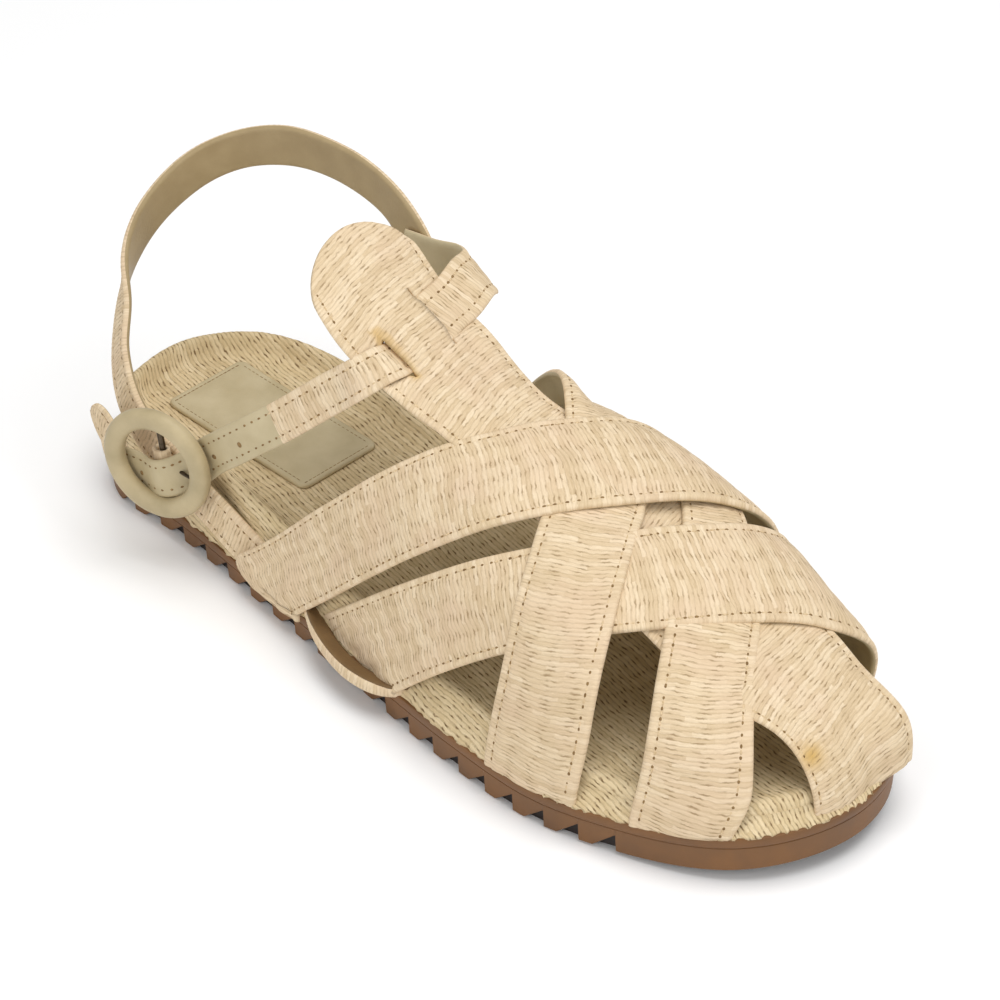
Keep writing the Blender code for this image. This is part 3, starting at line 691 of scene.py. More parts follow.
def last_point(x, turn, lift):
    """A point of the last: turn goes from -1 at the outer sole edge over the crest to 1 at the inner one."""
    share = np.abs(np.sin(turn * math.pi / 2)) ** (2 / OUTER_FULLNESS)
    full = fullness(x, turn)
    rise = np.maximum(1 - share ** full, 0.0) ** (1 / full)
    y = (last_half_width(x, turn) + lift) * np.sign(turn) * share
    z = rubber_top(x) + GAP + (crest_height(x) + lift) * rise
    return np.stack([x, y, z], axis=-1)


def last_height(x, y):
    """Height of the last over a point of the floor."""
    width = np.maximum(last_half_width(x, y), TOUCH)
    share = np.clip(np.abs(y) / width, 0.0, 1.0)
    full = fullness(x, y)
    rise = (1 - share ** full) ** (1 / full)
    return rubber_top(x) + GAP + crest_height(x) * rise


# The ring's own directions: along the strap's run, up across it, and out of its face
RING_OUT = unit(RING_FACE)
RING_ALONG = unit(np.array(RING_RUN) - RING_OUT * np.dot(RING_RUN, RING_OUT))
RING_UP = np.cross(RING_ALONG, RING_OUT)


def ring_point(along, up, out):
    return np.array(RING_CENTRE) + along * RING_ALONG + up * RING_UP + out * RING_OUT


# Materials

def colour(code):
    """An sRGB hex colour as linear red, green, blue and alpha."""
    parts = [int(code[start:start + 2], 16) / 255 for start in (1, 3, 5)]
    linear = [part / 12.92 if part <= 0.04045 else ((part + 0.055) / 1.055) ** 2.4 for part in parts]
    return (*linear, 1.0)


def fill_sockets(tree, node, sockets):
    """Gives each named socket of a node a value, an output, or the first output of another node."""
    for name, value in sockets.items():
        if isinstance(value, bpy.types.Node):
            value = value.outputs[0]
        if isinstance(value, bpy.types.NodeSocket):
            tree.links.new(value, node.inputs[name])
        else:
            node.inputs[name].default_value = value


def add_node(tree, kind, sockets=None, **settings):
    """A node with its settings and what its sockets take."""
    node = tree.nodes.new(kind)
    for name, value in settings.items():
        setattr(node, name, value)
    fill_sockets(tree, node, sockets or {})
    return node


def start_material(name):
    material = bpy.data.materials.new(name)
    material.use_nodes = True
    return material, material.node_tree, material.node_tree.nodes["Principled BSDF"]


def set_ramp(ramp_node, stops):
    """Colours of a ramp from rows of position and hex colour."""
    ramp = ramp_node.color_ramp
    while len(ramp.elements) < len(stops):
        ramp.elements.new(0.5)
    for element, (position, code) in zip(ramp.elements, stops):
        element.position = position
        element.color = colour(code)


def uneven(tree, size, detail, stops, roughness=None):
    """What a shader takes for colours, and for a range of roughness if there is one, in soft clouds.

    The clouds are about as wide as size in millimetres.
    """
    inside = add_node(tree, "ShaderNodeTexCoord").outputs["Object"]
    clouds = add_node(tree, "ShaderNodeTexNoise", {
        "Vector": inside, "Scale": 1 / (size * MM), "Detail": detail})
    tone = add_node(tree, "ShaderNodeValToRGB", {"Fac": clouds})
    set_ramp(tone, stops)
    if roughness is None:
        return {"Base Color": tone}
    low, high = roughness
    rough = add_node(tree, "ShaderNodeMapRange", {
        "Value": clouds, "From Min": 0.3, "From Max": 0.7, "To Min": low, "To Max": high})
    return {"Base Color": tone, "Roughness": rough}


def woven_raffia(name, pitch, warp, strand_stops, gap_code, gap_shares, tint_code):
    """Woven paper raffia: matt straw wefts, no two alike, with fine fibres and short dark gaps by the warps.

    Layer strand holds millimetres across and along a strap, so a noise's scale is in clouds per millimetre.
    Layer weave holds how open the weave is and a stain.
    """
    material, tree, shader = start_material(name)
    node = functools.partial(add_node, tree)
    strand = node("ShaderNodeAttribute", attribute_name="strand").outputs["Vector"]
    place_of = node("ShaderNodeSeparateXYZ", {"Vector": strand}).outputs
    state_layer = node("ShaderNodeAttribute", attribute_name="weave").outputs["Vector"]
    state = node("ShaderNodeSeparateXYZ", {"Vector": state_layer}).outputs

    # Wefts that wander, and warps that each weft passes at another place
    crinkle = node("ShaderNodeTexNoise", {"Vector": strand, "Scale": 0.55, "Detail": 3.0, "Roughness": 0.6})
    crinkled = node("ShaderNodeMath", {0: crinkle, 1: CRINKLE, 2: place_of["Y"]}, operation="MULTIPLY_ADD")
    weft_line = node("ShaderNodeCombineXYZ", {"Y": crinkled})
    wefts = node("ShaderNodeTexWave", {
        "Vector": weft_line, "Scale": WAVE_PITCH / pitch}, bands_direction="Y").outputs["Fac"]
    in_pitches = node("ShaderNodeMath", {0: crinkled, 1: pitch}, operation="DIVIDE")
    nearest = node("ShaderNodeMath", {0: in_pitches}, operation="ROUND")
    jitter = node("ShaderNodeTexWhiteNoise", {"W": nearest}, noise_dimensions="1D")
    shifted = node("ShaderNodeMath", {0: jitter, 1: WARP_JITTER, 2: place_of["X"]}, operation="MULTIPLY_ADD")
    warp_line = node("ShaderNodeCombineXYZ", {"X": shifted})
    warps = node("ShaderNodeTexWave", {
        "Vector": warp_line, "Scale": WAVE_PITCH / warp}, bands_direction="X").outputs["Fac"]

    # Each length of straw has its own shade, under fine fibres and a tint in large patches
    weft_number = node("ShaderNodeMath", {0: in_pitches}, operation="FLOOR")
    offset = node("ShaderNodeMath", {0: weft_number, 1: STRAW_OFFSET}, operation="MULTIPLY")
    in_straws = node("ShaderNodeMath", {
        0: place_of["X"], 1: STRAWS_PER_MM, 2: offset}, operation="MULTIPLY_ADD")
    straw_number = node("ShaderNodeMath", {0: in_straws}, operation="FLOOR")
    straw = node("ShaderNodeCombineXYZ", {"X": weft_number, "Y": straw_number, "Z": place_of["Z"]})
    own = node("ShaderNodeTexWhiteNoise", {"Vector": straw})
    fibre_place = node("ShaderNodeMapping", {"Vector": strand, "Scale": FIBRES_PER_MM})
    fibres = node("ShaderNodeTexNoise", {
        "Vector": fibre_place, "Scale": 1.0, "Detail": 4.0, "Roughness": 0.62})
    patches = node("ShaderNodeTexNoise", {"Vector": strand, "Scale": 0.07, "Detail": 3.0})
    darker = node("ShaderNodeMath", {0: fibres, 1: 0.2}, operation="SUBTRACT")
    shade = node("ShaderNodeMath", {0: own, 1: 0.4, 2: darker}, operation="MULTIPLY_ADD")
    ramp = node("ShaderNodeValToRGB", {"Fac": shade})
    set_ramp(ramp, strand_stops)
    tint = node("ShaderNodeMapRange", {
        "Value": patches, "From Min": 0.45, "From Max": 0.7, "To Min": 0.0, "To Max": 0.5})
    tinted = node("ShaderNodeMix", {"Factor": tint, "A": ramp, "B": colour(tint_code)}, data_type="RGBA")
    stained = node("ShaderNodeMix", {
        "Factor": state["Y"], "A": tinted.outputs["Result"], "B": colour("#c9a04a")}, data_type="RGBA")

    # Dark gaps between wefts, strong beside the warps and broken off here and there
    breaks = node("ShaderNodeTexNoise", {"Vector": strand, "Scale": 0.42, "Detail": 2.0})
    gap = node("ShaderNodeMapRange", {
        "Value": wefts, "From Min": 0.0, "From Max": 0.45, "To Min": 1.0, "To Max": 0.0})
    by_warp = node("ShaderNodeMapRange", {
        "Value": warps, "From Min": 0.05, "From Max": 0.6, "To Min": 1.0, "To Max": 0.0})
    unbroken = node("ShaderNodeMapRange", {
        "Value": breaks, "From Min": 0.4, "From Max": 0.56, "To Min": 0.1, "To Max": 1.0})
    dash = node("ShaderNodeMath", {0: gap, 1: by_warp}, operation="MULTIPLY")
    dash = node("ShaderNodeMath", {0: dash, 1: unbroken}, operation="MULTIPLY")
    strong, faint = gap_shares
    faint_gap = node("ShaderNodeMath", {0: gap, 1: faint}, operation="MULTIPLY")
    dark = node("ShaderNodeMath", {0: dash, 1: strong, 2: faint_gap}, operation="MULTIPLY_ADD")
    dark = node("ShaderNodeMath", {0: dark, 1: state["X"]}, operation="MULTIPLY")
    whole = node("ShaderNodeMix", {
        "Factor": dark, "A": stained.outputs["Result"], "B": colour(gap_code)}, data_type="RGBA")

    # Relief of wefts, fibres and gaps
    fine = node("ShaderNodeMath", {0: fibres, 1: 0.6}, operation="MULTIPLY")
    relief = node("ShaderNodeMath", {0: wefts, 1: 0.5, 2: fine}, operation="MULTIPLY_ADD")
    sunk = node("ShaderNodeMath", {0: dash, 1: 0.5}, operation="MULTIPLY")
    relief = node("ShaderNodeMath", {0: relief, 1: sunk}, operation="SUBTRACT")
    bump = node("ShaderNodeBump", {"Height": relief, "Strength": 0.6, "Distance": STRAW_RELIEF * MM})
    rough = node("ShaderNodeMapRange", {
        "Value": fibres, "From Min": 0.3, "From Max": 0.7, "To Min": 0.6, "To Max": 0.85})
    fill_sockets(tree, shader, {
        "Base Color": whole.outputs["Result"], "Roughness": rough, "Normal": bump,
        "Specular IOR Level": 0.25})
    return material


def lining_leather(name, pale_code, deep_code, roughness):
    """Finished lining leather: even olive colour, fine pebbled grain and a soft shine."""
    material, tree, shader = start_material(name)
    stops = ((0.3, deep_code), (0.7, pale_code))
    finish = uneven(tree, 9.0, 4.0, stops, (roughness - 0.06, roughness + 0.08))
    inside = add_node(tree, "ShaderNodeTexCoord").outputs["Object"]
    grain = add_node(tree, "ShaderNodeTexVoronoi", {
        "Vector": inside, "Scale": 1 / (LEATHER_GRAIN * MM), "Randomness": 1.0})
    bump = add_node(tree, "ShaderNodeBump", {
        "Height": grain.outputs["Distance"], "Strength": 0.35, "Distance": LEATHER_RELIEF * MM})
    fill_sockets(tree, shader, {**finish, "Normal": bump, "Specular IOR Level": 0.4})
    return material


def moulded_rubber():
    """Moulded brown rubber: dull, uneven, finely specked from the mould, with painted shade near black in its
    notches.
    """
    material, tree, shader = start_material("moulded_rubber")
    finish = uneven(tree, 14.0, 5.0, ((0.3, "#674523"), (0.7, "#7f562d")), (0.48, 0.64))
    # Painted shade: near black where the layer is set, in the notches
    painted_notch_shade = add_node(tree, "ShaderNodeAttribute", attribute_name="painted_notch_shade").outputs["Fac"]
    with_notch_shade = add_node(tree, "ShaderNodeMix", {
        "Factor": painted_notch_shade, "A": finish["Base Color"], "B": colour("#1e1009")}, data_type="RGBA")
    inside = add_node(tree, "ShaderNodeTexCoord").outputs["Object"]
    specks = add_node(tree, "ShaderNodeTexNoise", {
        "Vector": inside, "Scale": 1 / (RUBBER_SPECK * MM), "Detail": 2.0})
    bump = add_node(tree, "ShaderNodeBump", {
        "Height": specks, "Strength": 0.25, "Distance": RUBBER_RELIEF * MM})
    fill_sockets(tree, shader, {**finish, "Base Color": with_notch_shade.outputs["Result"], "Normal": bump})
    return material


def plated_steel():
    """Dark plated steel wire: metal with a brownish cast, worn a little brighter in places."""
    material, tree, shader = start_material("dark_plated_steel")
    finish = uneven(tree, 2.0, 3.0, ((0.35, "#3b332b"), (0.75, "#6a5d4c")), (0.28, 0.45))
    fill_sockets(tree, shader, {**finish, "Metallic": 1.0})
    return material


def stitch_hole_shadow():
    """Painted shade for the inside of a needle hole: dark brown and dull."""
    material, tree, shader = start_material("needle_hole_painted_shade")
    finish = uneven(tree, 1.5, 2.0, ((0.35, "#765a35"), (0.7, "#987b50")))
    fill_sockets(tree, shader, {**finish, "Roughness": 0.9})
    return material


def sewing_thread():
    """Waxed straw-coloured thread: pale, with a fine twist."""
    material, tree, shader = start_material("waxed_thread")
    finish = uneven(tree, 0.6, 2.0, ((0.3, "#c8ae84"), (0.7, "#e2caa4")))
    fill_sockets(tree, shader, {**finish, "Roughness": 0.7})
    return material


def matt_board():
    """A matt white studio board with the faintest unevenness."""
    material, tree, shader = start_material("matt_white_board")
    finish = uneven(tree, BOARD_CLOUDS, 2.0, ((0.3, "#fefefe"), (0.7, "#ffffff")))
    fill_sockets(tree, shader, {**finish, "Roughness": 0.9, "Specular IOR Level": 0.0})
    return material


RAFFIA = woven_raffia(
    "woven_paper_raffia", WEFT_PITCH, WARP_PITCH,
    ((0.15, "#cab18b"), (0.5, "#dfc8a5"), (0.85, "#f1dec0")), "#86683f", (0.5, 0.2), "#dfc4a6")
FOOTBED_RAFFIA = woven_raffia(
    "woven_footbed_raffia", FOOTBED_PITCH, FOOTBED_WARP,
    ((0.15, "#c1a97e"), (0.5, "#d9c39a"), (0.85, "#eddab6")), "#6b4f2b", (0.7, 0.28), "#d2bd93")
LEATHER = lining_leather("olive_lining_leather", "#c9ba97", "#b9a984", 0.5)
# The sling's lining is a darker copy of the lining leather: painted shade, for a face that lies in shade
SHADED_SLING_LEATHER = lining_leather("olive_sling_leather_painted_shade", "#ac9771", "#9f8a64", 0.5)
# The loose band's lining is darker still: painted shade on the band's inner face and the gap under the
# strap's end
BAND_LINING = lining_leather("shaded_band_lining", "#80643f", "#6c5231", 0.7)
RING_LEATHER = lining_leather("olive_ring_leather", "#c2b18c", "#ad9d79", 0.48)
RUBBER = moulded_rubber()
STEEL = plated_steel()
HOLE = stitch_hole_shadow()
THREAD = sewing_thread()


# Meshes

def add_object(name, data):
    """A new object in the scene, with this mesh, lamp or camera."""
    thing = bpy.data.objects.new(name, data)
    bpy.context.scene.collection.objects.link(thing)
    return thing


def add_vectors(mesh, layers):
    """A layer of vectors on a mesh's points for each name."""
    for layer, values in layers.items():
        attribute = mesh.attributes.new(layer, "FLOAT_VECTOR", "POINT")
        attribute.data.foreach_set("vector", np.asarray(values, np.float32).ravel())


def make_piece(name, points, faces, materials, face_materials=None, layers=None, sharp=None):
    """A mesh object from points in millimetres; edges are sharp past an angle in degrees."""
    mesh = bpy.data.meshes.new(name)
    mesh.from_pydata(place(points).tolist(), [], [tuple(face) for face in faces])
    for material in materials:
        mesh.materials.append(material)
    if face_materials is not None:
        mesh.polygons.foreach_set("material_index", np.asarray(face_materials, np.int32))
    add_vectors(mesh, layers or {})
    mesh.shade_smooth()
    if sharp is not None:
        mesh.set_sharp_from_angle(angle=math.radians(sharp))
    return add_object(name, mesh)


def quads(number):
    """The corners of each cell in a grid of point numbers, in their order round it."""
    return np.stack([number[:-1, :-1], number[1:, :-1], number[1:, 1:], number[:-1, 1:]], -1)


def closed_grid(top, under, keep=None):
    """A closed wall between two grids of points, with holes where keep is false.

    Gives its points, its faces, which faces are the underside, and which of the grids' points it uses.
    """
    rows, columns = top.shape[:2]
    if keep is None:
        keep = np.ones((rows - 1, columns - 1), bool)
    size = rows * columns
    cells = quads(np.arange(size).reshape(rows, columns))
    upper_faces = cells[keep]
    lower_faces = cells[..., ::-1][keep] + size
    beyond = np.pad(keep, 1)
    neighbours = (beyond[1:-1, :-2], beyond[2:, 1:-1], beyond[1:-1, 2:], beyond[:-2, 1:-1])
    walls = []
    for side, neighbour in enumerate(neighbours):
        start = cells[..., side]
        end = cells[..., (side + 1) % 4]
        walls.append(np.stack([end, start, start + size, end + size], -1)[keep & ~neighbour])
    faces = np.concatenate([upper_faces, lower_faces, *walls])
    kinds = np.zeros(len(faces), int)
    kinds[len(upper_faces):len(upper_faces) + len(lower_faces)] = 1
    used = np.zeros(2 * size, bool)
    used[faces] = True
    points = np.concatenate([top.reshape(-1, 3), under.reshape(-1, 3)])[used]
    return points, (np.cumsum(used) - 1)[faces], kinds, used


def side_loops(count, levels, closed=False):
    """Faces between loops of count points each, from the lowest up, and from last to first if closed."""
    faces = []
    for level in range(levels if closed else levels - 1):
        low = level * count
        high = (level + 1) % levels * count
        for i in range(count):
            j = (i + 1) % count
            faces.append((low + i, low + j, high + j, high + i))
    return faces


def cap_strips(count):
    """Faces that close a loop by strips from its outer to its inner side, facing up."""
    strips = []
    for i in range(count // 2):
        strip = [i, i + 1, count - i - 1, (count - i) % count]
        strips.append([corner for number, corner in enumerate(strip) if corner not in strip[:number]])
    return strips


def grid_faces(sheet):
    """The way that each point of a sheet faces."""
    return unit(np.cross(np.gradient(sheet, axis=0), np.gradient(sheet, axis=1)))


def waves(rows, along, across, seed):
    """The sum of slow waves over a strap."""
    return sum(amount * np.sin(along / run + across / span + turn * seed) for amount, run, span, turn in rows)


def weave(across, along, seed, pitch, warp, slant):
    """Places in the weave, whose threads wander a little, and how high the cloth stands there."""
    along = along + slant * across + waves(WEFT_WANDER, along, across, seed)
    along = along + waves(WEFT_QUIVER, along, across, seed)
    across = across + waves(WARP_WANDER, along, across, seed)
    weft = 0.5 - 0.5 * np.cos(2 * math.pi * along / pitch)
    at_warp = 0.5 + 0.5 * np.cos(2 * math.pi * across / warp)
    height = WEFT_RELIEF * weft ** WEFT_FLATNESS - RIB_RELIEF * at_warp ** 2
    return np.stack([across, along, 0.0 * along + SEED_SPACING * seed], -1), height


def crease_height(name, along, across):
    """Height of the creases listed for a strap."""
    height = 0.0 * along
    for strap, along_1, across_1, along_2, across_2, depth, width in CREASES:
        if strap == name:
            run = (along_2 - along_1, across_2 - across_1)
            share = ((along - along_1) * run[0] + (across - across_1) * run[1]) / (run[0] ** 2 + run[1] ** 2)
            share = np.clip(share, 0.0, 1.0)
            away = np.hypot(along - along_1 - share * run[0], across - across_1 - share * run[1])
            height = height + depth * np.exp(-(away / width) ** 2)
    return height


def across_places(width):
    """Distances across a strap from its first edge, close together at the folded edges and the seams."""
    near_edge = np.array(EDGE_PLACES)
    count = max(round((width - 2 * near_edge[-1]) / COLUMN_SPACING), 2)
    middle = np.linspace(near_edge[-1], width - near_edge[-1], count + 1)[1:-1]
    return np.concatenate([near_edge, middle, width - near_edge[::-1]])


# Stitches and holes that the pieces add as they are made: point, run and face
STITCHES = []
PUNCHES = []
PATCH_STITCHES = []


def note_stitches(surface, face, along, seam_column, sewn, leather_rows):
    """Adds evenly spaced stitches on one line of a strap's surface, where it is sewn.

    Each has its point, run and face, and whether it is on bare leather.
    """
    line = surface[:, seam_column]
    run = unit(np.gradient(line, axis=0))
    for where in np.arange(along[0] + STITCH_PITCH, along[-1] - STITCH_PITCH, STITCH_PITCH):
        row = int(np.searchsorted(along, where))
        if sewn[row, seam_column]:
            on_leather = leather_rows is not None and leather_rows[row]
            STITCHES.append((line[row], run[row], face[row, seam_column], on_leather))


def woven_band(name, sheet, along, distances, width, thickness, keep=None, leather_rows=None, stain=None,
               sewn=None, slant=WEFT_SLANT, face=None, lining=None):
    """A raffia strap with folded, sewn edges and a leather lining, round a sheet of points."""
    seed = WEAVE_SEEDS[name]
    if face is None:
        face = grid_faces(sheet)
    inside = np.minimum(distances, width - distances)
    round_edge = np.sqrt(1 - (1 - np.minimum(inside / EDGE_ROUNDING, 1.0)) ** 2)
    half = thickness / 2 * np.maximum(round_edge, EDGE_LEAST)
    dent = SEAM_DENT * np.exp(-((inside - SEAM_INSET) / SEAM_SPREAD) ** 2)
    if along.ndim == 1:
        along = along[:, None] + 0.0 * distances[None, :]
    across = distances[None, :] - width / 2 + 0.0 * along
    strand, height = weave(across, along, seed, WEFT_PITCH, WARP_PITCH, slant)
    open_weave = EDGE_OPENNESS + (1 - EDGE_OPENNESS) * ease(*OPENING_RANGE, inside)[None, :] + 0.0 * height
    relief = height * open_weave
    if leather_rows is not None:
        relief = relief * ~leather_rows[:, None]
    ripple = waves(STRAP_RIPPLE, along, across, seed) + crease_height(name, along, across)
    middle = sheet + face * ripple[..., None]
    top = middle + face * (half - dent + relief)[..., None]
    under = middle - face * half[None, :, None]
    points, faces, kinds, used = closed_grid(top, under, keep)
    if leather_rows is not None:
        row_of_point = np.tile(np.repeat(np.arange(len(sheet)), len(distances)), 2)[used]
        kinds = np.where(leather_rows[row_of_point[faces[:, 0]]], 1, kinds)
    spots = np.zeros_like(height) if stain is None else stain(sheet)
    state = np.stack([open_weave, spots, 0.0 * spots], -1)
    layers = {"strand": strand, "weave": state}
    layers = {layer: np.tile(values.reshape(-1, 3), (2, 1))[used] for layer, values in layers.items()}
    piece = make_piece(name, points, faces.tolist(), (RAFFIA, lining or LEATHER), kinds, layers)
    if sewn is None:
        sewn = np.ones_like(height)
    seam = int(np.argmin(np.abs(distances - SEAM_INSET)))
    for seam_column in (seam, len(distances) - 1 - seam):
        note_stitches(top, face, along[:, seam_column], seam_column, sewn, leather_rows)
    return piece, top, face


def ribbon_sheet(path, distances, width, share_of_width=None):
    """The middle sheet of a strap along a path whose rows hold a point and the way its outer face looks.

    The function share_of_width takes the middle line and the distances to the far end.  Gives the distances
    along the strap as well.
    """
    path = np.asarray(path, float)
    length = lengths(path[:, :3])
    along = np.arange(0.0, length[-1], ROW_SPACING)
    rows = smooth(length, path, along)
    centre = rows[:, :3]
    run = unit(np.gradient(centre, axis=0))
    face = rows[:, 3:]
    face = unit(face - run * np.sum(face * run, axis=1, keepdims=True))
    up = np.cross(run, face)
    if share_of_width:
        up = up * share_of_width(centre, length[-1] - along)[:, None]
    return centre[:, None, :] + up[:, None, :] * (width / 2 - distances)[None, :, None], along


def hand_in(piece, slot, *nodes):
    """Makes a piece ride with the shoe, in place of the solids that it stands for."""
    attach(piece, "root")
    if nodes:
        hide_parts(*nodes)


# Straps of the upper

def strap_surface(row, turn, share):
    """Middle surface of a strap: turn from the outer to the inner side, share from front to rear edge."""
    name, rear_outer, rear_inner, rear_bow, front_outer, front_inner, front_bow = row
    lean_front, lean_rear, _, _ = STRAP_ENDS[name]
    beyond = np.maximum(np.abs(turn) - 1, 0.0)
    turn = np.clip(turn, -1.0, 1.0)
    rear = rear_outer + (rear_inner - rear_outer) * (turn + 1) / 2 + rear_bow * (1 - turn ** 2)
    front = front_outer + (front_inner - front_outer) * (turn + 1) / 2 + front_bow * (1 - turn ** 2)
    x = front + (rear - front) * share
    turn = turn + 0.0 * x
    lift = curve(STRAP_LIFTS[name], turn)
    for strap, start, most, end, edge, amount in STRAP_SLACK:
        if strap == name:
            near_edge = ease(SLACK_START, 1.0, 1 - np.abs(share - edge))
            lift = lift + amount * near_edge * ease(start, most, turn) * (1 - ease(most, end, turn))
    lean = np.where(turn < 0, -lean_front - (lean_rear - lean_front) * share, STRAP_INNER_END[0])
    lean = lean * ease(END_LEAN_START, 1.0, np.abs(turn))
    return last_point(x, turn, lift) + np.stack([0.0 * x, lean, -HANG_PER_TURN * (beyond + 0.0 * x)], axis=-1)


def row_steps(sheet):
    """The distances from each row of a sheet to the next."""
    return np.linalg.norm(np.diff(sheet, axis=0), axis=2)


def strap_sheet(row, shares):
    """A strap's sheet in rows square to its run, the turn of each point, and its distance along the strap."""
    shares = np.asarray(shares)
    turns = np.linspace(-TURN_REACH, TURN_REACH, TURN_STEPS)
    centre = strap_surface(row, turns, 0.5)
    run = unit(np.gradient(centre, axis=0))
    reached = []
    for share in shares:
        ahead = np.sum((strap_surface(row, turns, share) - centre) * run, axis=1)
        reached.append(np.maximum.accumulate(lengths(centre) + ahead))
    first = min(np.interp(-SHEET_REACH, turns, along) for along in reached)
    last = max(np.interp(SHEET_REACH, turns, along) for along in reached)
    levels = np.arange(first, last, ROW_SPACING)
    turn = np.stack([np.interp(levels, along, turns) for along in reached], axis=1)

    # At a slanting end the lines run on alone, so rows are put in there and the weave gets their length
    step = np.max(row_steps(strap_surface(row, turn, shares)), axis=1)
    parts = np.maximum(np.ceil(step / (LONGEST_STEP * ROW_SPACING)), 1.0).astype(int)
    places = np.concatenate([number + np.arange(count) / count for number, count in enumerate(parts)])
    places = np.append(places, len(parts))
    rows = np.arange(len(levels))
    turn = np.stack([np.interp(places, rows, line) for line in turn.T], axis=1)
    levels = np.interp(places, rows, levels)
    sheet = strap_surface(row, turn, shares)
    stretch = np.maximum(row_steps(sheet) - STRETCH_START * np.diff(levels)[:, None], 0.0)
    stretch = np.concatenate([np.zeros((1, len(shares))), np.cumsum(stretch, axis=0)])
    return sheet, turn, (levels - first)[:, None] + stretch - stretch[len(stretch) // 2]


def outer_limit(row, distances, width):
    """The turn where each lengthwise line of a strap ends on the outer side, sooner in a round corner."""
    _, _, hang, corner = STRAP_ENDS[row[0]]
    low = -1 - hang / HANG_PER_TURN
    if corner == 0:
        return low + 0.0 * distances
    into_corner = np.clip(1 - (width - distances) / corner, 0.0, 1.0)
    shorter = corner * (1 - np.sqrt(1 - into_corner ** 2))
    turns = np.linspace(low, low + CORNER_REACH, CORNER_STEPS)
    edge = lengths(strap_surface(row, turns, 1.0))
    return np.interp(shorter, edge, turns)


def make_straps():
    for row in STRAPS:
        edges, turn, _ = strap_sheet(row, (0.0, 1.0))
        whole = np.max(np.abs(turn), axis=1) < WHOLE_TURN
        width = float(np.median(np.linalg.norm(edges[whole, 0] - edges[whole, 1], axis=1)))
        distances = across_places(width)
        shares = distances / width
        sheet, turn, along = strap_sheet(row, shares)
        low = outer_limit(row, distances, width)[None, :]
        high = 1 + STRAP_INNER_END[1] / HANG_PER_TURN
        there = (turn > low) & (turn < high)
        keep = there[:-1, :-1] | there[1:, :-1] | there[:-1, 1:] | there[1:, 1:]
        inside = np.clip(
            np.arange(len(turn))[:, None], np.sum(turn <= low, axis=0),
            len(turn) - 1 - np.sum(turn >= high, axis=0))
        face = np.take_along_axis(grid_faces(sheet), inside[..., None], axis=0)
        cut = strap_surface(row, np.clip(turn, low, high), shares[None, :])
        sewn = (turn > low + SEAM_START) & (turn < SEAM_END)
        piece, _, _ = woven_band(
            row[0], cut, along, distances, width, STRAP_THICKNESS, keep, sewn=sewn, face=face)
        hand_in(piece, "raffia", "upper")


def make_loose_band():
    """The turned-in end of strap b, come loose from the sole's edge."""
    points = np.array(LOOSE_BAND, float)
    run = unit(np.gradient(points, axis=0))
    path = np.column_stack([points, run[:, 1], -run[:, 0], 0.0 * run[:, 0] + LOOSE_BAND_TILT])
    distances = np.linspace(0.0, LOOSE_BAND_WIDTH, LOOSE_COLUMNS)
    sheet, along = ribbon_sheet(path, distances, LOOSE_BAND_WIDTH)
    piece, _, _ = woven_band(
        "loose_band", sheet, along, distances, LOOSE_BAND_WIDTH, LOOSE_BAND_THICKNESS,
        sewn=np.zeros(sheet.shape[:2], bool))
    hand_in(piece, "raffia")
    # Its inner face in the darker lining: painted shade
    shown = np.column_stack([points + LOOSE_LINING_SHIFT, np.tile(LOOSE_LINING_FACE, (len(points), 1))])
    distances = np.linspace(0.0, LOOSE_LINING_WIDTH, LOOSE_COLUMNS)
    sheet, _ = ribbon_sheet(shown, distances, LOOSE_LINING_WIDTH)
    offset = grid_faces(sheet) * LOOSE_LINING_THICKNESS / 2
    points, faces, _, _ = closed_grid(sheet + offset, sheet - offset)
    hand_in(make_piece("loose_band_lining", points, faces.tolist(), (BAND_LINING,)), "leather")


# Centre strip with tongue and toe bar

def toe_end(y):
    """Where a lengthwise line at y meets the strap line round the toe."""
    side = STRAP_OUTER if y < 0 else STRAP_INNER
    front = side[side[:, 0] > TOE_BAR_START]
    return float(np.interp(-abs(y), -np.abs(front[:, 1]), front[:, 0]))


def tongue_height(x, y, half):
    return curve(TONGUE_RISE, x) - TONGUE_EDGE_DROP * (y / half) ** 2


def strip_half(x, y_sign):
    return np.where(y_sign < 0, curve(STRIP_EDGES, x, 1), curve(STRIP_EDGES, x, 2))


def strip_height(x, y):
    """Height of the centre strip: the tongue's own rise behind the straps, the last under and before them."""
    on_last = ease(*TONGUE_MEETS_LAST, x)
    base = (1 - on_last) * tongue_height(x, y, strip_half(x, y)) + on_last * last_height(x, y)
    return base + curve(STRIP_LIFT, x)


def band_shift(x, from_middle):
    """How the strip gives way to the ankle strap: up between the slots, down beside them."""
    outer_slot, inner_slot = SLOTS
    centre = np.interp(-from_middle, -column(ANKLE_TONGUE, 1), column(ANKLE_TONGUE, 0))
    rear = centre - BAND_SHARE * ANKLE_WIDTH
    front = centre + BAND_SHARE * ANKLE_WIDTH
    risen = ease(rear + BAND_REAR_EASE[0], rear + BAND_REAR_EASE[1], x)
    fallen = ease(front + BAND_FRONT_EASE[0], front + BAND_FRONT_EASE[1], x)
    beyond = max(outer_slot[0] - from_middle, from_middle - inner_slot[1], 0.0)
    between = outer_slot[1] - TOUCH < from_middle < inner_slot[0] + TOUCH
    amount = BAND_RISE if between else MARGIN_DIP * math.exp(-(beyond / MARGIN_REACH) ** 2)
    return risen * (1 - fallen) * amount


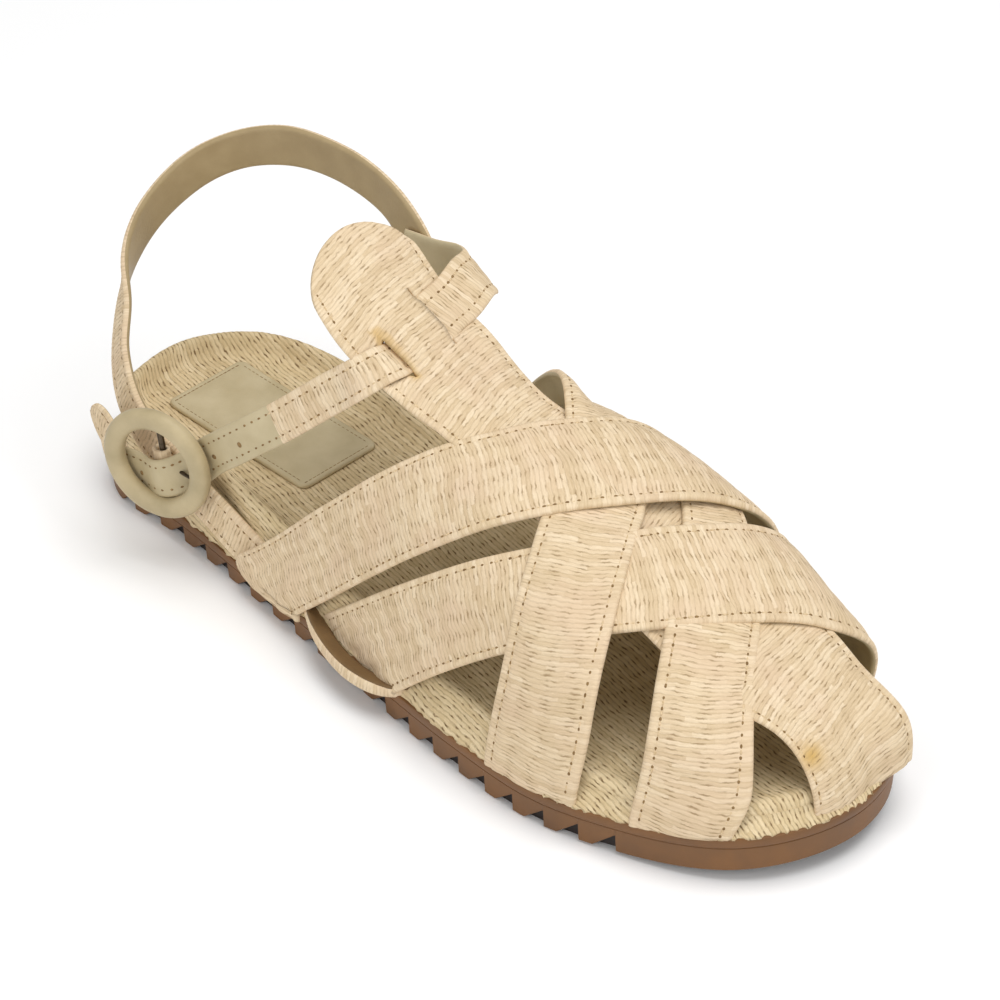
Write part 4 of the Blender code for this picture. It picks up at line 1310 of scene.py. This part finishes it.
def strip_sheet(distances):
    """The centre strip from the tongue's round tip to the toe."""
    body = np.arange(TONGUE_BODY_START, TOE_BAR_START, ROW_SPACING)
    body = np.sort(np.concatenate([body, column(SLOTS, 2), column(SLOTS, 3)]))
    tip_rows = np.linspace(0.0, 1.0, TIP_ROWS)[:-1]
    toe_rows = np.sin(math.pi / 2 * np.linspace(0.0, 1.0, TOE_ROWS)[1:])
    sheet = []
    for distance in distances:
        share = (distance - STRIP_HALF) / STRIP_HALF
        sign = 1.0 if share > 0 else -1.0
        tip = TONGUE_TIP + TONGUE_ROUNDING * (1 - math.sqrt(max(1 - share * share, 0.0)))
        edge = float(strip_half(TOE_EDGE_X, sign)) * share
        end = toe_end(sign * abs(edge))
        x = np.concatenate([tip + (body[0] - tip) * tip_rows, body, body[-1] + (end - body[-1]) * toe_rows])
        y = share * strip_half(x, sign)
        toe_part = ease(TOE_BAR_START, end, x)
        y = y * (1 - toe_part) + edge * toe_part
        z = strip_height(x, y) + band_shift(x, distance - STRIP_HALF)
        flare = ease(*CORNER_FLARE_RANGE, y) * toe_part ** CORNER_FLARE_POWER
        sheet.append(np.stack([x, y, z], axis=1) + flare[:, None] * np.array(CORNER_FLARE))
    return np.stack(sheet, axis=1)


def strip_stain(sheet):
    """A yellow spot on the toe bar and ochre cut edges at the outer slot."""
    spot = np.exp(-np.sum((sheet - np.array(STAIN_PLACE)) ** 2, axis=-1) / STAIN_RADIUS ** 2)
    outer, inner, rear, front = SLOTS[0]
    rear = rear - SLOT_STAIN_REACH
    x = sheet[..., 0]
    beside = np.maximum(outer - sheet[..., 1], sheet[..., 1] - inner)
    in_rows = ease(rear - SLOT_STAIN_FADE, rear, x) * (1 - ease(front, front + SLOT_STAIN_FADE, x))
    at_slot = in_rows * (1 - ease(*SLOT_STAIN_WIDTH, beside))
    return np.maximum(STAIN_STRENGTH * spot, SLOT_STAIN_STRENGTH * at_slot)


def make_strip():
    width = 2 * STRIP_HALF
    distances = across_places(width)
    for outer, inner, _, _ in SLOTS:
        start = STRIP_HALF + outer
        end = STRIP_HALF + inner
        distances = distances[(distances < start - SLOT_CLEARANCE) | (distances > end + SLOT_CLEARANCE)]
        distances = np.sort(np.append(distances, (start, end)))
    sheet = strip_sheet(distances)
    x = sheet[..., 0]
    middle = sheet[:, len(distances) // 2]
    run = lengths(middle)
    along = np.where(x < TONGUE_BODY_START, np.interp(x, middle[:, 0], run), run[:, None])
    keep = np.ones((sheet.shape[0] - 1, sheet.shape[1] - 1), bool)
    for outer, _, rear, front in SLOTS:
        in_slot = (middle[:-1, 0] >= rear - TOUCH) & (middle[1:, 0] <= front + TOUCH)
        keep[in_slot, int(np.argmin(np.abs(distances - STRIP_HALF - outer)))] = False
    piece, _, _ = woven_band(
        "centre_strip", sheet, along, distances, width, STRIP_THICKNESS, keep, stain=strip_stain,
        slant=STRIP_SLANT)
    hand_in(piece, "raffia", "upper")


# Heel sling, ankle strap and buckle

def make_sling():
    distances = across_places(SLING_WIDTH)
    sheet, along = ribbon_sheet(SLING_PATH, distances, SLING_WIDTH)
    piece, _, _ = woven_band(
        "heel_sling", sheet, along, distances, SLING_WIDTH, SLING_THICKNESS, lining=SHADED_SLING_LEATHER)
    hand_in(piece, "raffia", "heel_strap")


def ankle_path():
    """Rows of the ankle strap: inner side, tongue, outer side, buckle and tail."""
    rows = [*ANKLE_PATH_INNER]
    for x, y in ANKLE_TONGUE:
        slope = float(strip_height(x + 1.0, y) - strip_height(x - 1.0, y)) / 2
        tilt = float(strip_height(x, y + 1.0) - strip_height(x, y - 1.0)) / 2
        face = unit([-slope, -tilt, 1.0])
        beyond = max(SLOTS[0][0] - y, y - SLOTS[1][1])
        lift = ANKLE_LIFT + MARGIN_LIFT * float(ease(0.0, MARGIN_LIFT_REACH, beyond))
        point = np.array([x, y, float(strip_height(x, y))]) + lift * face
        rows.append([*point, *face])
    rows += ANKLE_PATH_OUTER
    for along in ANKLE_RING_ROWS:
        share = min(abs(along) / ANKLE_BULGE_REACH, 1.0)
        out = ANKLE_BEHIND_RIM + ANKLE_BULGE * (0.5 + 0.5 * math.cos(math.pi * share))
        rows.append([*ring_point(along, float(curve(ANKLE_SIT, along)), out), *RING_OUT])
    rows += ANKLE_TAIL
    return rows


def ankle_share_of_width(centre, to_end):
    """The strap is wider on the inner side of the tongue, and its tail ends round."""
    tip = np.sqrt(1 - (1 - np.minimum(to_end / ANKLE_TAPER, 1.0)) ** 2)
    return tip * (1 + ANKLE_INNER_WIDENING * ease(*ANKLE_WIDENING_RANGE, centre[:, 1]))


def make_ankle_strap():
    distances = across_places(ANKLE_WIDTH)
    sheet, along = ribbon_sheet(ankle_path(), distances, ANKLE_WIDTH, ankle_share_of_width)
    centre_column = len(distances) // 2
    middle = sheet[:, centre_column]
    leather_rows = (middle[:, 1] < 0) & (middle[:, 0] < LEATHER_START_X) & (middle[:, 0] > LEATHER_END_X)
    piece, top, face = woven_band(
        "ankle_band", sheet, along, distances, ANKLE_WIDTH, ANKLE_THICKNESS, leather_rows=leather_rows)
    run = unit(np.gradient(middle, axis=0))
    for x in PUNCH_X:
        row = int(np.argmin(np.where(leather_rows, np.abs(middle[:, 0] - x), np.inf)))
        PUNCHES.append((top[row, centre_column], run[row], face[row, centre_column]))
    hand_in(piece, "raffia", "ankle_strap")


def make_ring():
    turns = np.linspace(0.0, 2 * math.pi, RING_TURNS, endpoint=False)
    section = np.linspace(0.0, 2 * math.pi, RING_SIDES, endpoint=False)
    power = 2 / RING_SECTION_FULLNESS
    wide = np.sign(np.cos(section)) * np.abs(np.cos(section)) ** power
    high = np.sign(np.sin(section)) * np.abs(np.sin(section)) ** power
    radii = (RING_OUTER_RADIUS + RING_INNER_RADIUS) / 2 + (RING_OUTER_RADIUS - RING_INNER_RADIUS) / 2 * wide
    outs = RING_THICKNESS / 2 * high
    points = []
    for turn in turns:
        for radius, out in zip(radii, outs):
            points.append(ring_point(radius * math.cos(turn), radius * math.sin(turn), out))
    faces = side_loops(RING_SIDES, RING_TURNS, closed=True)
    hand_in(make_piece("ring_cover", points, faces, (RING_LEATHER,)), "leather", "buckle_ring")


def make_loop():
    """A strip of raffia bent round the bar."""
    bend = [(-LOOP_RADIUS * math.sin(turn), BAR_DEPTH - LOOP_RADIUS * math.cos(turn))
            for turn in np.linspace(0.0, math.pi, LOOP_ROWS)]
    start = [(LOOP_LEG, bend[0][1]), (LOOP_LEG / 2, bend[0][1])]
    end = [(LOOP_LEG / 2, bend[-1][1] - LOOP_LEG_DIP / 3), (LOOP_LEG, bend[-1][1] - LOOP_LEG_DIP)]
    profile = start + bend + end
    ups = BAR_SIT + np.linspace(-LOOP_WIDTH / 2, LOOP_WIDTH / 2, LOOP_COLUMNS)
    sheet = np.array([[ring_point(along, up, out) for up in ups] for along, out in profile])
    offset = grid_faces(sheet) * LOOP_THICKNESS / 2
    points, faces, kinds, _ = closed_grid(sheet + offset, sheet - offset)
    places = np.stack(np.meshgrid(ups, np.arange(len(profile)) * 1.0, [0.0]), -1)
    layers = {
        "strand": np.tile(places.reshape(-1, 3), (2, 1)),
        "weave": np.tile((LOOP_OPENNESS, 0.0, 0.0), (len(points), 1)),
    }
    piece = make_piece("bar_loop", points, faces.tolist(), (RAFFIA, RAFFIA), kinds, layers)
    hand_in(piece, "raffia", "buckle_loop")


def make_prong():
    path = np.array([ring_point(along, BAR_SIT, out) for along, out in PRONG_PATH])
    length = lengths(path)
    centre = smooth(length, path, np.linspace(0.0, length[-1], PRONG_ROWS))
    run = unit(np.gradient(centre, axis=0))
    radii = PRONG_RADIUS * np.linspace(1.0, PRONG_TIP_SHARE, PRONG_ROWS)
    points = []
    for middle, direction, radius in zip(centre, run, radii):
        across = unit(RING_UP - direction * np.dot(RING_UP, direction))
        other = np.cross(direction, across)
        for turn in np.linspace(0.0, 2 * math.pi, PRONG_SIDES, endpoint=False):
            points.append(middle + radius * (math.cos(turn) * across + math.sin(turn) * other))
    faces = side_loops(PRONG_SIDES, PRONG_ROWS)
    faces.append(tuple(reversed(range(PRONG_SIDES))))
    faces.append(tuple(range(len(points) - PRONG_SIDES, len(points))))
    piece = make_piece("tapered_prong", points, faces, (STEEL,), sharp=PRONG_SHARP_ANGLE)
    hand_in(piece, "metal", "buckle_prong")


# Sole, footbed and patch

def make_sole():
    notch_points = []
    for number in range(NOTCH_COUNT):
        wall = NOTCH_FIRST + number * NOTCH_PITCH
        for lengths_back, along, depths, up in NOTCH_SHAPE:
            notch_points.append((wall - lengths_back * NOTCH_LENGTH + along, depths * NOTCH_DEPTH + up))
    notch_x = column(notch_points, 0)
    ends = sole_stations(SOLE_STATIONS)
    ends = ends[(ends < notch_x[0] - NOTCH_MARGIN) | (ends > notch_x[-1] + NOTCH_MARGIN)]
    stations = np.sort(np.concatenate([ends, notch_x]))
    tread = np.interp(stations, notch_x, column(notch_points, 1)) + spring(stations)
    tread_round = np.concatenate([tread, tread[-2:0:-1]])
    core = edge_loop(TREAD_CORE_INSET, stations)
    loops = [np.column_stack([core, spring(core[:, 0]) + TREAD_CORE_HEIGHT])]
    for inset, over_tread, under_top in SOLE_WALL:
        flat = edge_loop(inset, stations)
        height = tread_round + over_tread if under_top is None else rubber_top(flat[:, 0]) - under_top
        loops.append(np.column_stack([flat, height]))
    count = len(core)
    top = (len(loops) - 1) * count
    faces = side_loops(count, len(loops))
    for strip in cap_strips(count):
        faces.append(tuple(reversed(strip)))
        faces.append(tuple(top + corner for corner in strip))
    # Painted shade, near black, on the tread's edge and the wall's first row, in the notches
    painted_notch_shade = np.zeros((len(loops), count, 3))
    painted_notch_shade[:PAINTED_SHADE_LOOPS] = 1.0
    piece = make_piece(
        "tread_sole", np.concatenate(loops), faces, (RUBBER,), layers={"painted_notch_shade": painted_notch_shade},
        sharp=SOLE_SHARP_ANGLE)
    hand_in(piece, "rubber", "outsole")


def footbed_weave(plan):
    """Heights and layers of the footbed's weave, whose strands run along the foot, turned outward."""
    turn = math.radians(FOOTBED_TURN)
    across = plan[:, 0] * math.cos(turn) + plan[:, 1] * math.sin(turn)
    along = plan[:, 1] * math.cos(turn) - plan[:, 0] * math.sin(turn)
    strand, height = weave(across, along, FOOTBED_SEED, FOOTBED_PITCH, FOOTBED_WARP, 0.0)
    return height, {"strand": strand, "weave": np.tile((1.0, 0.0, 0.0), (len(plan), 1))}


def make_footbed():
    stations = sole_stations(FOOTBED_STATIONS)
    outward = edge_loop(0.0, stations) - edge_loop(1.0, stations)
    loops = []
    for inset, (of_rubber, of_rim, of_floor), drop, fray in FOOTBED_PROFILE:
        flat = edge_loop(FOOTBED_INSET + inset, stations)
        x = flat[:, 0]
        height = of_rubber * rubber_top(x) + of_rim * footbed_rim(x) + of_floor * footbed_floor(x) - drop
        uneven_edge = fray * (2 * hashed(np.arange(len(x)), FRAY_SEED) - 1)
        loops.append(np.column_stack([flat + outward * uneven_edge[:, None], height + uneven_edge]))
    plans = [loops[-1][:, :2]]
    for upper, lower in zip(loops[:0:-1], loops[-2::-1]):
        plans.insert(0, plans[0] + outward * np.linalg.norm(upper - lower, axis=1)[:, None])
    count = len(outward)
    half = count // 2
    top = (len(loops) - 1) * count
    faces = side_loops(count, len(loops))
    faces += [tuple(reversed(strip)) for strip in cap_strips(count)]

    # The floor is a grid from the outer to the inner side, closed by fans at heel and toe
    outer = loops[-1][1:half]
    inner = loops[-1][:half:-1]
    shares = np.linspace(0.0, 1.0, FOOTBED_COLUMNS)[1:-1, None]
    floor = outer[:, None, :] * (1 - shares) + inner[:, None, :] * shares
    floor[..., 2] = footbed_floor(floor[..., 0])
    numbers = len(loops) * count + np.arange(floor.shape[0] * floor.shape[1]).reshape(floor.shape[:2])
    outer_numbers = top + np.arange(1, half)
    inner_numbers = top + np.arange(count - 1, half, -1)
    grid = np.concatenate([outer_numbers[:, None], numbers, inner_numbers[:, None]], axis=1)
    faces += quads(grid).reshape(-1, 4).tolist()
    faces += [(top, left, right) for left, right in zip(grid[0, :-1], grid[0, 1:])]
    faces += [(top + half, right, left) for left, right in zip(grid[-1, :-1], grid[-1, 1:])]
    floor = floor.reshape(-1, 3)
    points = np.concatenate([*loops, floor])
    height, layers = footbed_weave(np.concatenate([*plans, floor[:, :2]]))
    points[count:, 2] += height[count:]
    piece = make_piece("footbed_cover", points, faces, (FOOTBED_RAFFIA,), layers=layers)
    hand_in(piece, "raffia_footbed", "footbed")


def patch_places(size, near_edge, start, count):
    """Distances over the patch from one of its edges, close together at both."""
    near_edge = np.array(near_edge)
    return np.concatenate([near_edge, np.linspace(start, size - start, count), size - near_edge[::-1]])


def make_patch():
    length, width = PATCH_SIZE
    rows = patch_places(length, *PATCH_ROWS) - length / 2
    side = patch_places(width, *PATCH_COLUMNS) / width * 2 - 1
    into_corner = np.maximum(np.abs(rows) - (length / 2 - PATCH_CORNER), 0.0)
    half = width / 2 - PATCH_CORNER + np.sqrt(np.maximum(PATCH_CORNER ** 2 - into_corner ** 2, 0.0))
    x = PATCH_CENTRE[0] + rows[:, None] + 0.0 * side[None, :]
    y = PATCH_CENTRE[1] + half[:, None] * side[None, :]
    inside = np.minimum(length / 2 - np.abs(rows)[:, None], half[:, None] * (1 - np.abs(side))[None, :])
    low = footbed_floor(x) + GAP
    rounded = np.sqrt(1 - (1 - np.minimum(inside / PATCH_ROUNDING, 1.0)) ** 2)
    groove = PATCH_GROOVE * np.exp(-((inside - PATCH_GROOVE_INSET) / PATCH_GROOVE_SPREAD) ** 2)
    swell = PATCH_SWELL * np.sin(x / 6.0 + 1.0) * np.sin(y / 5.0) * ease(*PATCH_SWELL_RANGE, inside)
    edge_share = PATCH_EDGE_SHARE + (1 - PATCH_EDGE_SHARE) * rounded
    high = low + PATCH_THICKNESS * edge_share - groove + swell
    top = np.stack([x, y, high], -1)
    under = np.stack([x, y, low], -1)
    points, faces, kinds, _ = closed_grid(top, under)
    for row in range(1, len(rows) - 1):
        for line in (PATCH_SEAM, len(side) - 1 - PATCH_SEAM):
            if abs(rows[row]) < length / 2 - PATCH_CORNER and row % 2:
                PATCH_STITCHES.append((top[row, line], (1.0, 0.0, 0.0), (0.0, 0.0, 1.0)))
    for line in range(PATCH_SEAM + 1, len(side) - 1 - PATCH_SEAM, 2):
        for row in (PATCH_SEAM, len(rows) - 1 - PATCH_SEAM):
            PATCH_STITCHES.append((top[row, line], (0.0, 1.0, 0.0), (0.0, 0.0, 1.0)))
    piece = make_piece("heel_patch", points, faces.tolist(), (LEATHER, LEATHER), kinds)
    hand_in(piece, "leather", "footbed_patch")


# Stitches

def stitch_tree():
    """Geometry Nodes that set one stitch on every point, turned to the seam's run and the strap's face."""
    tree = bpy.data.node_groups.new("stitches_along_seams", "GeometryNodeTree")
    tree.interface.new_socket("Geometry", in_out="OUTPUT", socket_type="NodeSocketGeometry")
    inputs = {
        "Geometry": "NodeSocketGeometry", "Stitch": "NodeSocketObject", "Length": "NodeSocketFloat",
        "Width": "NodeSocketFloat", "Height": "NodeSocketFloat", "Material": "NodeSocketMaterial",
        "Seed": "NodeSocketInt",
    }
    for name, kind in inputs.items():
        tree.interface.new_socket(name, in_out="INPUT", socket_type=kind)
    node = functools.partial(add_node, tree)
    given = node("NodeGroupInput").outputs
    run = node("GeometryNodeInputNamedAttribute", {"Name": "run"}, data_type="FLOAT_VECTOR")
    face = node("GeometryNodeInputNamedAttribute", {"Name": "face"}, data_type="FLOAT_VECTOR")
    upright = node("FunctionNodeAlignRotationToVector", {"Vector": face.outputs["Attribute"]}, axis="Z")
    turned = node("FunctionNodeAlignRotationToVector", {
        "Rotation": upright, "Vector": run.outputs["Attribute"]}, axis="X", pivot_axis="Z")
    size = node("ShaderNodeCombineXYZ", {"X": given["Length"], "Y": given["Width"], "Z": given["Height"]})
    vary = node("FunctionNodeRandomValue", {
        "Min": [1 - STITCH_VARIATION] * 3, "Max": [1 + STITCH_VARIATION] * 3, "Seed": given["Seed"]},
        data_type="FLOAT_VECTOR")
    scale = node("ShaderNodeVectorMath", {0: size, 1: vary}, operation="MULTIPLY")
    shape = node("GeometryNodeObjectInfo", {"Object": given["Stitch"]})
    copies = node("GeometryNodeInstanceOnPoints", {
        "Points": given["Geometry"], "Instance": shape.outputs["Geometry"],
        "Rotation": turned, "Scale": scale})
    real = node("GeometryNodeRealizeInstances", {"Geometry": copies})
    painted = node("GeometryNodeSetMaterial", {"Geometry": real, "Material": given["Material"]})
    node("NodeGroupOutput", {"Geometry": painted})
    return tree


def round_dome(name, sides, rings):
    """A small closed dome of radius 1 over a cone, as the pattern for stitches and holes."""
    points = [(0.0, 0.0, -1.0)]
    faces = []
    turns = [2 * math.pi * side / sides for side in range(sides)]
    for ring in range(rings):
        lift = math.sin(math.pi / 2 * ring / rings)
        radius = math.cos(math.pi / 2 * ring / rings)
        points += [(radius * math.cos(turn), radius * math.sin(turn), lift) for turn in turns]
    points.append((0.0, 0.0, 1.0))
    for side in range(sides):
        after = (side + 1) % sides
        faces.append((0, 1 + after, 1 + side))
        for ring in range(rings - 1):
            low = 1 + ring * sides
            faces.append((low + side, low + after, low + sides + after, low + sides + side))
        top = 1 + (rings - 1) * sides
        faces.append((top + side, top + after, len(points) - 1))
    mesh = bpy.data.meshes.new(name)
    mesh.from_pydata(points, [], faces)
    mesh.shade_smooth()
    return add_object(name, mesh)


def scatter_stitches(name, rows, tree, pattern, sizes, material, seed):
    """One mesh with a stitch at each row's point."""
    carrier_mesh = bpy.data.meshes.new(name + "_points")
    carrier_mesh.from_pydata(place([row[0] for row in rows]).tolist(), [], [])
    add_vectors(carrier_mesh, {"run": [row[1] for row in rows], "face": [row[2] for row in rows]})
    carrier = add_object(name + "_points", carrier_mesh)
    modifier = carrier.modifiers.new("stitches", "NODES")
    modifier.node_group = tree
    length, width, height = (size * MM for size in sizes)
    values = {
        "Stitch": pattern, "Length": length, "Width": width, "Height": height,
        "Material": material, "Seed": seed}
    for item in tree.interface.items_tree:
        if item.in_out == "INPUT" and item.name in values:
            modifier[item.identifier] = values[item.name]
    graph = bpy.context.evaluated_depsgraph_get()
    mesh = bpy.data.meshes.new_from_object(carrier.evaluated_get(graph))
    mesh.name = name
    mesh.shade_smooth()
    bpy.data.objects.remove(carrier)
    return add_object(name, mesh)


def make_stitches():
    tree = stitch_tree()
    pattern = round_dome("stitch_pattern", DOME_SIDES, DOME_RINGS)
    between = [(point + run * STITCH_PITCH / 2 - face * THREAD_SINK, run, face)
               for point, run, face, on_leather in STITCHES if not on_leather]
    kinds = (
        # name, rows, size, material, seed, slot
        ("stitch_holes", STITCHES, HOLE_SIZE, HOLE, 3, "raffia"),
        ("stitch_threads", between, THREAD_SIZE, THREAD, 4, "raffia"),
        ("strap_holes", PUNCHES, PUNCH_SIZE, HOLE, 5, "leather"),
        ("patch_border", PATCH_STITCHES, BORDER_SIZE, HOLE, 6, "leather"),
    )
    pieces = []
    for name, rows, size, material, seed, slot in kinds:
        pieces.append((scatter_stitches(name, rows, tree, pattern, size, material, seed), slot))
    bpy.data.objects.remove(pattern)
    for piece, slot in pieces:
        hand_in(piece, slot)


# Floor, light and camera

def make_floor():
    mesh = bpy.data.meshes.new("floor")
    corners = [(FLOOR_REACH * x, FLOOR_REACH * y, 0.0) for x, y in ((-1, -1), (1, -1), (1, 1), (-1, 1))]
    mesh.from_pydata(corners, [], [(0, 1, 2, 3)])
    mesh.materials.append(matt_board())
    add_object("floor", mesh)


def make_light():
    world = bpy.data.worlds.new("studio")
    world.use_nodes = True
    background = world.node_tree.nodes["Background"]
    background.inputs["Color"].default_value = (1.0, 1.0, 1.0, 1.0)
    background.inputs["Strength"].default_value = WORLD_STRENGTH
    bpy.context.scene.world = world
    for name, where, size, power in LIGHTS:
        light = bpy.data.lights.new(name, "AREA")
        light.shape = "DISK"
        light.size = size
        light.energy = power
        lamp = add_object(name, light)
        lamp.location = where
        lamp.rotation_euler = Vector(where).to_track_quat("Z", "Y").to_euler()


def make_camera():
    camera = bpy.data.cameras.new("camera")
    camera.lens = CAMERA_LENS
    camera.sensor_width = CAMERA_SENSOR
    camera.clip_start = CAMERA_CLIP
    seat = add_object("camera", camera)
    where = Vector(place(CAMERA_PLACE))
    aim = Vector(place(CAMERA_AIM))
    seat.location = where
    seat.rotation_euler = (where - aim).to_track_quat("Z", "Y").to_euler()
    bpy.context.scene.camera = seat
    bpy.context.scene.view_settings.view_transform = "Standard"


def finish_bar():
    """The bar keeps its solid and takes the plated steel."""
    bar = bpy.data.objects["buckle_bar"]
    bar.data.materials.clear()
    bar.data.materials.append(STEEL)


make_sole()
make_footbed()
make_patch()
make_straps()
make_loose_band()
make_strip()
make_sling()
make_ankle_strap()
make_ring()
make_loop()
make_prong()
finish_bar()
make_stitches()
make_floor()
make_light()
make_camera()
